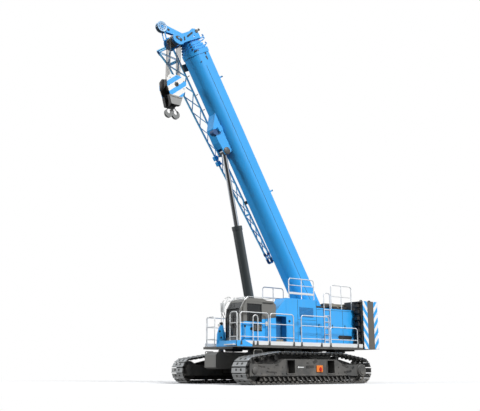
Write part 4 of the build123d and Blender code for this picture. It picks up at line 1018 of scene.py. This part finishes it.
@dataclass
class Housings(Assembly):
    """Seams, louvres, handles and hinges on the covers."""

    nodes: ClassVar[dict[str, str]] = {
        "sky_paint": "left_house left_hood engine_house engine_door",
        "forged_steel": "engine",
        "bare_steel": "exhaust",
    }
    left_y: float = 1.2
    right_y: float = -1.5

    def build(self) -> None:
        """Build the pieces on the covers."""
        self.seams()
        self.louvres()
        self.slope()
        self.fittings()

    def seams(self) -> None:
        """Thin dark joints between the panels."""
        gaps = self.new("panel_joints", "black_paint_and_shade", "sky_blue")
        low, high = self.left_y - 0.004, self.left_y + 0.003
        for x, top in ((-0.33, 3.12), (-1.305, 3.12), (-2.05, 2.83), (-2.75, 2.83)):
            gaps.block((x - 0.006, low, 1.42), (x + 0.006, high, top))
        levels = ((-0.33, 0.24, 1.62), (-1.3, -0.33, 2.36))
        levels += ((-3.42, -1.31, 1.66), (-3.42, -1.31, 2.8))
        for rear, front, z in levels:
            gaps.block((rear, low, z - 0.005), (front, high, z + 0.005))
        low, high = self.right_y - 0.003, self.right_y + 0.004
        for x in (-1.9, -2.65, 0.0):
            gaps.block((x - 0.006, low, 1.42), (x + 0.006, high, 2.83))
        gaps.block((-3.42, low, 1.635), (0.28, high, 1.645))

    def louvres(self) -> None:
        """Grilles with slanted slats."""
        backing = self.new("louvre_backs", "grille_and_shade_blue", "sky_blue")
        slats = self.new("louvre_slats", "sky_paint", "sky_blue")
        for x0, x1, z0, z1, y, out in (
            (-1.14, -0.42, 2.47, 2.84, self.left_y, 1.0),
            (-3.2, -2.7, 1.9, 2.6, self.right_y, -1.0),
            (-2.55, -2.0, 1.9, 2.6, self.right_y, -1.0),
        ):
            backing.block((x0, y - 0.002, z0), (x1, y + out * 0.006, z1))
            count = int((z1 - z0) / 0.045)
            middle = y + out * 0.004
            turn = Matrix.Rotation(math.radians(out * 28), 4, "X")
            for index in range(count):
                z = z0 + (index + 0.5) * (z1 - z0) / count
                spot = ((x0 + x1) / 2, middle, z)
                slats.around(spot, ((x1 - x0) / 2 - 0.02, 0.012, 0.005), turn=turn)

    def slope(self) -> None:
        """Sloping cover between the house and the cab, what is under it, and a toe board."""
        cover = self.new("house_slope", "sky_paint", "sky_blue")
        cover.plate(((0.25, 3.145), (0.76, 2.62), (0.76, 2.44), (0.25, 2.44)), 0.62, 1.196, 0.008)
        board = self.new("roof_toe_board", "rail_paint", "rail_white")
        board.block((-1.22, 1.132, 3.315), (0.04, 1.168, 3.4), 0.006)
        # Painted shade: the recess panel takes the darker blue to look shaded.
        recess = self.new("recess_panel", "grille_and_shade_blue", "sky_blue")
        recess.block((0.262, 0.62, 1.361), (0.94, 0.92, 2.44), 0.01)
        box = self.new("recess_box", "beam_paint", "frame_grey")
        box.block((0.34, 0.92, 1.361), (0.7, 1.12, 1.6), 0.01)
        for index in range(4):
            x = 0.36 + index * 0.09
            box.block((x, 1.12, 1.38), (x + 0.04, 1.135, 1.58), 0.003)

    def fittings(self) -> None:
        """Handles, hinges, a latch, and a plain plate low on the hood."""
        y = self.left_y
        dark = self.new("cover_handles", "black_paint_and_shade", "frame_grey")
        dark.cap(((0.05, 0.0), (0.045, 0.012)), (0.1, y, 2.28), steps=20)
        dark.block((-0.445, y, 1.78), (-0.415, y + 0.02, 2.09), 0.006)
        upper = ((-2.45, 1.76), (-2.52, 1.83), (-3.2, 1.83), (-3.28, 1.76))
        dark.plate((*upper, (-3.2, 1.69), (-2.52, 1.69)), y, y + 0.006)
        for x in (-1.42, -2.16, -2.86):
            dark.block((x - 0.012, y, 2.1), (x + 0.012, y + 0.025, 2.24), 0.004)
        for z in (1.75, 2.15, 2.55):
            dark.rod((-0.292, -1.508, z - 0.05), (-0.292, -1.508, z + 0.05), 0.012)
        latch = self.new("engine_door_latch", "black_paint_and_shade", "frame_grey", body="engine_door_leaf")
        latch.block((-1.19, -1.51, 2.1), (-1.13, -1.498, 2.24), 0.004)
        latch.block((-1.175, -1.525, 2.12), (-1.145, -1.508, 2.22), 0.004)


@dataclass
class Cab(Assembly):
    """Rails, loops, seals, wiper, lamps and door furniture."""

    nodes: ClassVar[dict[str, str]] = {
        "cab_paint": "cab_shell cab_door",
        "front_glass": "cab_windows",
        "window": "door_window",
        "seat_cloth": "operator_seat",
        "rail_paint": "mirrors",
    }
    side_y: float = 1.42
    door_y: float = 1.466
    loop_y: float = 0.53

    def build(self) -> None:
        """Build the pieces of the cab and its door."""
        loops = self.new("front_loops", "steel_tube", "rail_white")
        outer = ((2.64, 2.3), (2.74, 2.44), (2.78, 2.56), (2.76, 2.74))
        outer += ((2.7, 2.93), (2.6, 3.04), (2.46, 3.1), (2.36, 3.06))
        inner = ((2.63, 2.42), (2.66, 2.58), (2.64, 2.74), (2.56, 2.87), (2.46, 2.94), (2.38, 2.95))
        side = ((2.635, 1.5), (2.64, 2.3), (2.58, 2.62), (2.42, 2.9), (2.24, 3.02))
        near = self.loop_y
        for outline, y, radius in ((outer, near, 0.014), (inner, near, 0.014), (side, 1.39, 0.012)):
            loops.pipe([(x, y, z) for x, z in outline], radius)
        rail = self.new("cab_roof_rail", "rail_paint", "rail_white")
        roof, top = 2.93, 3.06
        bars = [((2.4, y, roof), (2.2, y, top), (1.05, y, top)) for y in (0.6, 1.38)]
        bars += [((x, 0.6, top), (x, 1.38, top)) for x in (2.2, 1.05)]
        for points in bars:
            rail.pipe(points, 0.012)
        for x in (1.05, 1.6, 2.2):
            for y in (0.6, 1.38):
                rail.rod((x, y, roof), (x, y, top), 0.01, 6)
        spots = self.new("fairing_details", "black_paint_and_shade", "frame_grey")
        for x, z, radius in ((2.87, 1.84, 0.035), (2.8, 1.62, 0.04), (2.69, 1.46, 0.035)):
            spots.stud((x, z), 0.558, 0.568, radius, 16)
        spots.rod((2.76, 0.53, 2.08), (2.8, 0.53, 2.16), 0.06, 16)
        self.seals()
        lamps = self.new("work_lamps", "lamp_white", "rail_white")
        door = ((0.085, -0.01), (0.085, 0.0015), (0.08, 0.0035))
        lamps.cap(door, (1.386, self.side_y, 2.12), steps=24)
        upper = ((0.0, 0.0), (0.055, 0.0), (0.06, 0.05), (0.0, 0.055))
        for y in (0.72, 1.26):
            lamps.turned(upper, (2.3, y, 3.0), (1, 0, 0.2), 20)
        front = ((0.0, 0.0), (0.05, 0.0), (0.055, 0.04), (0.0, 0.05))
        lamps.turned(front, (2.86, 0.53, 2.06), (1, 0, 0.1), 20)
        self.door_furniture()

    def seals(self) -> None:
        """Rubber round the front window, with the wiper."""
        seals = self.new("front_window_seals", "rubber", "frame_grey")
        for z in (2.33, 2.62):
            seals.block((2.575, 0.62, z - 0.012), (2.632, 1.36, z + 0.012), 0.004)
        for y in (0.6, 1.34):
            seals.block((2.612, y, 1.6), (2.628, y + 0.04, 2.34), 0.003)
        seals.pipe(((2.632, 0.95, 1.68), (2.64, 1.02, 2.02), (2.64, 1.05, 2.25)), 0.009)
        seals.block((2.626, 1.04, 1.95), (2.636, 1.06, 2.5), 0.002)

    def door_furniture(self) -> None:
        """Seals, handle and the fittings that ride on the door."""
        y = self.door_y
        black = self.new("door_seals", "rubber", "frame_grey", body="cab_door_leaf")
        for x0, z0, x1, z1 in (
            (1.66, 2.17, 2.33, 2.195),
            (1.66, 2.785, 2.33, 2.81),
            (1.66, 2.17, 1.685, 2.81),
            (2.305, 2.17, 2.33, 2.81),
        ):
            black.block((x0, y - 0.006, z0), (x1, y + 0.006, z1), 0.002)
        black.cap(((0.045, 0.0), (0.04, 0.012)), (2.43, y, 2.0), steps=20)
        black.block((1.66, y, 1.84), (2.04, y + 0.02, 2.09), 0.01)
        black.cap(((0.06, 0.0), (0.055, 0.014)), (2.14, y, 1.92), steps=20)
        bright = self.new("door_fittings", "bare_steel", "rail_white", body="cab_door_leaf")
        for x in (1.71, 1.8, 1.9, 1.99):
            bright.block((x - 0.028, y + 0.018, 1.87), (x + 0.028, y + 0.03, 2.07), 0.004)
        bright.block((1.7, y + 0.018, 1.955), (2.0, y + 0.032, 1.985), 0.003)
        handle = ((y, 1.6), (y + 0.05, 1.62), (y + 0.05, 1.95), (y, 1.97))
        bright.pipe([(2.46, out, z) for out, z in handle], 0.01)


@dataclass
class Winches(Assembly):
    """Rope wound on the drums, with flanges, beams and machinery."""

    half_length: float = 0.36
    rope: float = 0.022
    axis_z: float = 2.86
    drums: tuple = (("main_winch", -3.02), ("rear_winch", -3.74))

    def drum(self, body: str, x: float) -> None:
        """Build one wound drum.

        Args:
            body: Body that carries it.
            x: Place of its axis forward of the slewing axis.
        """
        name, half, centre = f"{body}_drum", self.half_length, (x, 0.0, self.axis_z)
        flange = self.new(f"{name}_flanges", "dark_paint", "drum_steel", body=body, replaces=[name])
        rim = ((0.06, 0.0), (0.335, 0.0), (0.335, 0.012))
        rim += ((0.3, 0.024), (0.12, 0.024), (0.06, 0.05))
        for sign in SIDES:
            flange.turned(rim, (x, sign * half, self.axis_z), (0, sign, 0), 40)
        flange.cap(((0.06, -0.5), (0.06, 0.5)), centre, steps=24)
        coil = self.new(f"{name}_rope", "wound_rope", "rope_steel", body=body, smooth=70)
        profile: list[Flat] = [(0.06, -half)]
        for index in range(int(2 * half / self.rope)):
            start = -half + index * self.rope
            profile += [(0.275, start), (0.286, start + self.rope * 0.5)]
        coil.turned([*profile, (0.275, half), (0.06, half)], centre, steps=36)

    def build(self) -> None:
        """Build both drums and what stands round them."""
        for body, x in self.drums:
            self.drum(body, x)
        gear = self.new("winch_bearings", "dark_paint", "frame_grey")
        ring = ((0.07, 0.0), (0.2, 0.0), (0.2, 0.04), (0.13, 0.055), (0.07, 0.055))
        for body, x in self.drums:
            gear.turned(ring, (x, 0.5, self.axis_z))
        beams = self.new("winch_beams", "beam_paint", "frame_grey")
        for low, high in ((0.44, 0.5), (-0.5, -0.44)):
            beams.block((-3.97, low, 3.05), (-2.39, high, 3.16), 0.008)
            for x in (-3.92, -3.2, -2.48):
                beams.block((x - 0.04, low, 2.72), (x + 0.04, high, 3.06), 0.006)
        lumps = self.new("winch_machinery", "black_paint_and_shade", "frame_grey")
        for x, y, z, radius, length in (
            (-2.5, 0.46, 3.0, 0.13, 0.34),
            (-1.95, 0.72, 2.93, 0.07, 0.5),
            (-3.0, 0.72, 2.92, 0.06, 0.7),
            (-2.3, -0.3, 2.96, 0.1, 0.3),
            (-3.36, 0.66, 2.95, 0.09, 0.3),
        ):
            lumps.rod((x - length / 2, y, z), (x + length / 2, y, z), radius, 16)
        hose = ((-2.2, 0.6, 2.9), (-2.5, 0.62, 3.02), (-3.0, 0.6, 3.0), (-3.4, 0.62, 2.9))
        lumps.pipe(hose, 0.03)


@dataclass
class Counterweight(Assembly):
    """Lifting eyes, seams and lamps, and brackets on the posts in front of the block."""

    nodes: ClassVar[dict[str, str]] = {
        "counterweight_paint": "counterweight",
        "black_paint_and_shade": "lift_posts",
        "wound_rope": "main_winch_drum rear_winch_drum",
    }
    rear: float = -4.45
    top: float = 3.2

    def build(self) -> None:
        """Build the pieces on the counterweight."""
        posts = self.new("post_brackets", "black_paint_and_shade", "frame_grey", mirror=True)
        for z in (1.55, 1.95, 2.35, 2.75, 3.05):
            posts.block((-3.52, 1.55, z), (-3.46, 1.582, z + 0.09), 0.006)
        posts.block((-3.535, 1.22, 3.15), (-3.3, 1.52, self.top), 0.01)
        for index, deep in enumerate((0.16, 0.1, 0.17, 0.12, 0.16, 0.1, 0.15)):
            z = (1.5, 1.74, 1.98, 2.22, 2.46, 2.72, 2.96)[index]
            posts.block((-3.45, 1.24, z), (-3.45 + deep, 1.5, z + 0.13), 0.012)
            posts.stud((-3.38, z + 0.16), 1.48, 1.3, 0.03, 10)
        eyes = self.new("counterweight_eyes", "black_paint_and_shade", "weight_grey")
        lamps = self.new("rear_lamps", "signal_red", "weight_grey")
        for sign in SIDES:
            for x in (-3.75, -4.25):
                bow = ((-0.05, self.top), (-0.05, 3.29), (0.05, 3.29), (0.05, self.top))
                eyes.pipe([(x + ahead, sign * 1.3, z) for ahead, z in bow], 0.018)
            lamps.around((self.rear + 0.001, sign * 1.25, 1.46), (0.009, 0.12, 0.04), 0.003)
        for z in (2.24, 1.62):
            eyes.block((self.rear - 0.003, -1.5, z), (self.rear + 0.01, 1.5, z + 0.03))


# ---- boom ----
# Left of the middle, for the sheaves of the head and of the hook block.
SHEAVE_ROWS = (-0.135, -0.045, 0.045, 0.135)


@dataclass
class Boom(OnBoom):
    """Seams, pads, guides and hooks on the boom's sections."""

    nodes: ClassVar[dict[str, str]] = {
        "sky_paint": "boom_base boom_section_2 boom_section_3 boom_section_4 boom_section_5 "
        "boom_head",
        # The jib's paler blue is painted light.
        "jib_blue_painted_light": "fly_jib",
        "dark_paint": "jib_brackets",
        "chrome_rod": "luff_rod",
        "barrel_paint": "luff_barrel",
    }
    half_width: float = 0.41
    below: float = 0.405
    top: float = 0.445
    seam: float = 0.05

    def build(self) -> None:
        """Build the pieces on the boom."""
        dark = self.new("boom_seams", "black_paint_and_shade", "sky_blue")
        bolts = self.new("collar_bolts", "black_paint_and_shade", "frame_grey")
        for sign in SIDES:
            y = sign * self.half_width
            dark.block((0.6, y - 0.004, self.seam - 0.008), (10.9, y + 0.004, self.seam + 0.006))
            for along, up in ((11.39, 0.256), (11.19, 0.226)):
                dark.around((along, y, up), (0.075, 0.006, 0.035), 0.004)
            dark.stud((11.098, -0.111), y - 0.01, y + sign * 0.008, 0.025, 12)
            for index in range(5):
                up, y = -0.02 - index * 0.045, sign * (0.432 - index * 0.004)
                bolts.block((11.52, y - 0.012, up - 0.012), (11.6, y + 0.006, up + 0.012), 0.003)
        guides = self.new("rope_guides", "sky_paint", "sky_blue")
        for along in (10.3, 5.34):
            guides.block((along - 0.03, 0.34, 0.42), (along + 0.03, 0.39, 0.62), 0.006)
            guides.rod((along, 0.39, 0.58), (along, 0.3, 0.58), 0.03)
        for along in (10.29, 5.34, 8.0):
            for y in (-0.105, 0.105):
                guides.around((along, y, self.top + 0.06), (0.05, 0.015, 0.06), 0.004)
            guides.rod((along, -0.09, self.top + 0.08), (along, 0.09, self.top + 0.08), 0.035)
        self.fronts()

    def fronts(self) -> None:
        """Slide pads and rope hooks on the sections' front collars."""
        collars = ((2, 11.668, 0.014), (3, 11.778, 0.05), (4, 11.885, 0.086), (5, 11.98, 0.122))
        for number, along, inset in collars:
            body = f"section_{number}"
            pads = self.new(f"{body}_pads", "black_paint_and_shade", "frame_grey", body=body)
            for turn in (math.radians(33.0), math.radians(112.0)):
                y = (self.half_width + 0.022 - inset - 0.014) * math.cos(turn)
                up = -(self.below + 0.022 - inset - 0.014) * math.sin(turn)
                pads.around((along, y, up), (0.024, 0.035, 0.03), 0.006)
        for number, along, up in ((2, 11.66, 0.415), (4, 11.885, 0.345), (5, 11.98, 0.31)):
            body = f"section_{number}"
            hooks = self.new(f"{body}_hook", "sky_paint", "sky_blue", body=body)
            bend = ((0.0, 0.29, up), (0.03, 0.31, 0.52), (0.08, 0.32, 0.6), (0.14, 0.32, 0.56))
            hooks.pipe([(along + ahead, y, z) for ahead, y, z in bend], 0.026)


@dataclass
class StowedJib(OnBoom):
    """Blocks, pads and pins of the stowed jib, and the fittings by the cylinder's bracket.

    Each of its sections has a place along the boom, the height of its inner upper chord, its
    depth and its width.
    """

    sections: tuple = (
        (12.25, -0.36, 0.59, 0.43),
        (11.6, -0.325, 0.46, 0.42),
        (7.45, -0.275, 0.29, 0.26),
        (4.8, -0.215, 0.2, 0.18),
        (2.6, -0.145, 0.15, 0.14),
    )
    side: float = -0.57
    tilt: float = math.radians(50.9)
    eye_half: float = 0.215

    def chord(self, along: float, lower: int, outer: int) -> Vector:
        """Place on a chord of the jib.

        Args:
            along: Distance from the boom's foot.
            lower: 1 on the two chords farther down, otherwise 0.
            outer: 1 on the two chords farther out, otherwise 0.

        Returns:
            The place in the boom's frame.
        """
        for first, last in zip(self.sections, self.sections[1:]):
            if along >= last[0]:
                break
        share = (along - first[0]) / (last[0] - first[0])
        height, depth, width = (a + share * (b - a) for a, b in zip(first[1:], last[1:]))
        lean, rise = math.cos(self.tilt), math.sin(self.tilt)
        down, out = lower * depth, outer * width
        left = self.side - down * lean - out * rise
        return Vector((along, left, height - down * rise + out * lean))

    def build(self) -> None:
        """Build the pieces of the jib and of the bracket."""
        blocks = self.new("joint_blocks", "sky_paint", "sky_blue")
        for outer in (0, 1):
            for along in (7.2, 7.44):
                blocks.around(self.chord(along, 1, outer), (0.09, 0.085, 0.085), 0.012)
        blocks.block((8.33, 0.24, -0.66), (8.53, 0.36, -0.46), 0.01)
        pads = self.new("jib_pads", "pad_blue", "sky_blue")
        spans = ((2.62, 2.8, 0.055), (2.95, 3.05, 0.055), (12.12, 12.24, 0.052))
        for lower, outer in ((0, 0), (0, 1), (1, 0), (1, 1)):
            for low, high, radius in spans:
                pads.rod(self.chord(low, lower, outer), self.chord(high, lower, outer), radius)
        pads.rod((8.4, 0.06, -0.8), (8.4, 0.28, -0.8), 0.12, 28)
        pins = self.new("jib_pins", "bare_steel", "rail_white")
        for along in (10.85, 10.05, 9.4):
            start = self.chord(along, 0, 0)
            pins.rod(start, start + Vector((0.0, 0.15, 0.04)), 0.02, 10)
        boss = self.new("eye_bosses", "dark_paint", "frame_grey")
        for sign in SIDES:
            centre = (7.551, sign * self.eye_half, -0.602)
            boss.cap(((0.15, 0.0), (0.15, 0.012), (0.12, 0.03)), centre, (0, sign, 0))


def sheave(shape: Shape, centre: Point, radius: float) -> None:
    """Add a grooved sheave on an axis across the crane.

    Args:
        shape: Mesh that it is added to.
        centre: Middle of the sheave.
        radius: Radius of its rim.
    """
    half = 0.023
    groove = radius - 0.03
    flank = (
        (0.041, 1.3),
        (0.085, 1.3),
        (0.09, 0.5),
        (groove - 0.03, 0.5),
        (radius - 0.012, 1.0),
        (radius, 1.0),
        (groove + 0.006, 0.45),
    )
    near = [(r, -half * share) for r, share in flank]
    far = [(r, half * share) for r, share in reversed(flank)]
    shape.turned([*near, (groove, 0.0), *far], centre, steps=36)


@dataclass
class Head(OnBoom):
    """Grooved sheaves, pin caps and details of the boom head and the rooster arm."""

    body: ClassVar[str] = "section_5"
    sheave_at: Flat = (12.237, -0.629)
    top_at: Flat = (12.29, 0.33)
    rooster_at: Flat = (12.885, -0.917)
    plate_half: float = 0.362
    arm_half: float = 0.07

    def build(self) -> None:
        """Build the pieces of the head."""
        wheels = self.new("grooved_sheaves", "bare_steel", "sheave_grey", replaces=["head_sheaves"])
        spots = [(self.sheave_at, y, 0.21) for y in SHEAVE_ROWS]
        spots += [(self.top_at, 0.0, 0.15), (self.rooster_at, 0.0, 0.2)]
        for (along, up), y, radius in spots:
            sheave(wheels, (along, y, up), radius)
        caps = self.new("pin_caps", "dark_paint", "frame_grey")
        for along, up in (self.sheave_at, self.top_at):
            for sign in SIDES:
                centre = (along, sign * 0.36, up)
                caps.cap(((0.075, 0.0), (0.07, 0.018)), centre, (0, sign, 0), 24)
        self.slots()
        self.arm()

    def slots(self) -> None:
        """Dark slots and pins that break up the head plates and the rooster arm; the slots are thin
        dark plates, painted shade of openings.
        """
        dark = self.new("head_slots", "black_paint_and_shade", "frame_grey")
        pins = ((12.278, -0.686, 0.06), (12.145, -0.57, 0.06), (12.319, 0.467, 0.05))
        for sign in SIDES:
            y = sign * self.plate_half
            # Each slot is a thin black outline on the plate: painted shade of an opening.
            for first, last, wide in (
                ((12.194, -0.196), (12.281, 0.089), 0.035),
                ((12.1, -0.4), (12.2, -0.36), 0.03),
            ):
                for end in (first, last):
                    dark.stud(end, y - 0.004, y + 0.004, wide, 12)
                middle = ((first[0] + last[0]) / 2, y, (first[1] + last[1]) / 2)
                lean = -math.atan2(last[1] - first[1], last[0] - first[0])
                reach = (math.dist(first, last) / 2, 0.004, wide)
                dark.around(middle, reach, turn=Matrix.Rotation(lean, 4, "Y"))
            for along, up, radius in pins:
                dark.stud((along, up), y - 0.004, y + sign * 0.012, radius, 16)
            y = sign * self.arm_half
            for along, up, radius in (
                (13.033, -0.958, 0.05),
                (12.865, -1.014, 0.06),
                (12.714, -0.875, 0.07),
                (12.703, -0.692, 0.05),
            ):
                dark.stud((along, up), y - 0.004, y + sign * 0.008, radius, 14)

    def arm(self) -> None:
        """Struts of the rooster arm, and the rims and holes of its sheave; the holes are dark
        discs, painted shade of openings.
        """
        struts = self.new("arm_struts", "sky_paint", "sky_blue")
        rims = self.new("rooster_rims", "pale_paint", "sheave_grey")
        holes = self.new("rooster_holes", "pad_blue", "sheave_grey")
        along, up = self.rooster_at
        profile = ((0.07, -0.004), (0.205, -0.004), (0.215, 0.006))
        profile += ((0.2, 0.022), (0.17, 0.014), (0.07, 0.014))
        for sign in SIDES:
            y = sign * 0.09
            corner = (12.384, y, -0.99)
            struts.rod((12.671, y, -0.924), corner, 0.024, 10)
            struts.rod(corner, (12.392, y, -0.86), 0.024, 10)
            y = sign * self.arm_half
            rims.turned(profile, (along, y, up), (0, sign, 0), 36)
            # Painted shade: each hole is a dark disc on the rim, not an opening.
            for index in range(8):
                turn = math.radians(45 * index + 20)
                spot = (along + 0.125 * math.cos(turn), up + 0.125 * math.sin(turn))
                holes.stud(spot, y + sign * 0.01, y + sign * 0.018, 0.026, 10)


@dataclass
class HookBlock(Assembly):
    """Sheaves, ropes, caps and latches of the hook block."""

    body: ClassVar[str] = "block"
    nodes: ClassVar[dict[str, str]] = {
        "block_paint": "hook_block",
        "forged_steel": "hook",
        "bare_steel": "head_sheaves block_sheaves",
        "fall_rope": "rope_falls",
    }
    x: float = 4.74726
    z: float = 10.96
    top_z: float = 12.84495
    cheek: float = 0.29

    def build(self) -> None:
        """Build the pieces of the block."""
        wheels = self.new("block_wheels", "bare_steel", "sheave_grey", replaces=["block_sheaves"])
        ropes = self.new("hoist_falls", "fall_rope", "rope_steel", replaces=["rope_falls"])
        for y in SHEAVE_ROWS:
            sheave(wheels, (self.x, y, self.z), 0.21)
            for x in (self.x + 0.224, self.x - 0.224):
                ropes.rod((x, y, self.z), (x, y, self.top_z), 0.014, 8)
        caps = self.new("block_caps", "dark_paint", "hook_steel")
        latches = self.new("hook_latches", "dark_paint", "hook_steel", body="hook")
        for sign in SIDES:
            y = sign * self.cheek
            corners = ((0.095, 0.0), (0.085, 0.02), (0.05, 0.03))
            caps.cap(corners, (self.x, y, self.z), (0, sign, 0))
            for x, z in ((-0.3, 0.2), (0.3, 0.2), (-0.33, -0.1), (0.33, -0.1), (0.0, 0.3)):
                caps.stud((self.x + x, self.z + z), y, y + sign * 0.01, 0.018)
            start = (self.x + sign * 0.225, 0.0, 9.985)
            latches.rod(start, (self.x + sign * 0.045, 0.0, 10.15), 0.016, 8)


# ---- studio ----
@dataclass
class Studio:
    """Camera, lamps, world and floor."""

    eye: Point = (17.23, 20.55, 0.491)
    look: Point = (-0.59, -0.772, 0.2365)
    behind: Point = (0.643, 0.766, 0.0)
    lens: float = 50.73

    def build(self) -> None:
        """Build everything round the crane."""
        camera = bpy.data.cameras.new("camera")
        camera.lens = self.lens
        camera.sensor_width = 36.0
        camera.sensor_fit = "HORIZONTAL"
        camera.clip_end = 400.0
        shot = self.aim("camera", camera, self.look)
        shot.location = CRANE @ Vector(self.eye)
        bpy.context.scene.camera = shot
        for name, place, strength, size in (
            ("key", (-4.0, 24.0, 20.0), 3.6, 16.0),
            ("front", (26.0, -9.0, 5.0), 1.5, 14.0),
        ):
            lamp = bpy.data.lights.new(name, "SUN")
            lamp.energy = strength
            lamp.angle = math.radians(size)
            self.aim(name, lamp, -Vector(place))
        self.world()
        self.floor()

    def aim(self, name: str, data: bpy.types.ID, way: Iterable[float]) -> bpy.types.Object:
        """Add a camera or a lamp that looks along a direction.

        Args:
            name: Name of the object.
            data: Its camera or light.
            way: Direction.

        Returns:
            The new object.
        """
        made = bpy.data.objects.new(name, data)
        made.rotation_mode = "QUATERNION"
        made.rotation_quaternion = Vector(way).to_track_quat("-Z", "Y")
        bpy.context.scene.collection.objects.link(made)
        return made

    def world(self) -> None:
        """Even light, white for the camera; reflections see a dark end behind the camera."""
        world = bpy.data.worlds.new("studio")
        world.use_nodes = True
        world.node_tree.nodes.clear()
        graph = Graph(world.node_tree)
        ray = graph.node("LightPath").outputs
        seen = graph.math("MAXIMUM", ray["Is Camera Ray"], ray["Is Transmission Ray"])
        way = graph.node("TexCoord").outputs["Generated"]
        toward = graph.math("DOT_PRODUCT", way, self.behind, kind="VectorMath")
        dark = graph.mapped(toward, 0.35, 0.75)
        shade = graph.blend(dark, (0.85, 0.88, 0.92), (0.05, 0.05, 0.05))
        soft = graph.node("Background", Color=(0.93, 0.96, 1.0), Strength=0.38)
        shine = graph.node("Background", Color=shade)
        white = graph.node("Background", Color=(1.0, 1.0, 1.0), Strength=1.0)
        lit = graph.mixed(ray["Is Glossy Ray"], soft, shine)
        graph.end(graph.mixed(seen, lit, white), "OutputWorld")
        bpy.context.scene.world = world
        bpy.context.scene.view_settings.view_transform = "Standard"

    def floor(self) -> None:
        """A pale floor that keeps the shadow near the crane and ends in white."""
        bm = bmesh.new()
        bmesh.ops.create_circle(bm, cap_ends=True, segments=64, radius=120.0)
        mesh = bpy.data.meshes.new("floor")
        bm.to_mesh(mesh)
        bm.free()
        material, graph, place = new_material("pale_floor")
        far = graph.mapped(graph.math("LENGTH", place, kind="VectorMath"), 6.0, 14.0)
        seen = graph.node("LightPath").outputs["Is Camera Ray"]
        tone = graph.blend(seen, (0.1, 0.1, 0.1), (0.9, 0.9, 0.9))
        plain = graph.node("BsdfDiffuse", Color=tone)
        white = graph.node("Emission", Color=(1.0, 1.0, 1.0), Strength=1.0)
        graph.end(graph.mixed(graph.times(far, seen), plain, white))
        mesh.materials.append(material)
        floor = bpy.data.objects.new("floor", mesh)
        bpy.context.scene.collection.objects.link(floor)


ASSEMBLIES = (Tracks, Carbody, Decks, Housings, Cab, Winches, Counterweight)
ASSEMBLIES += (Boom, StowedJib, Head, HookBlock)


def main() -> None:
    """Build and dress the whole crane, then its surroundings."""
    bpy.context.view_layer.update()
    for assembly in ASSEMBLIES:
        LOG.info("building %s", assembly.__name__)
        assembly().run()
    Studio().build()


if __name__ == "__main__":
    main()
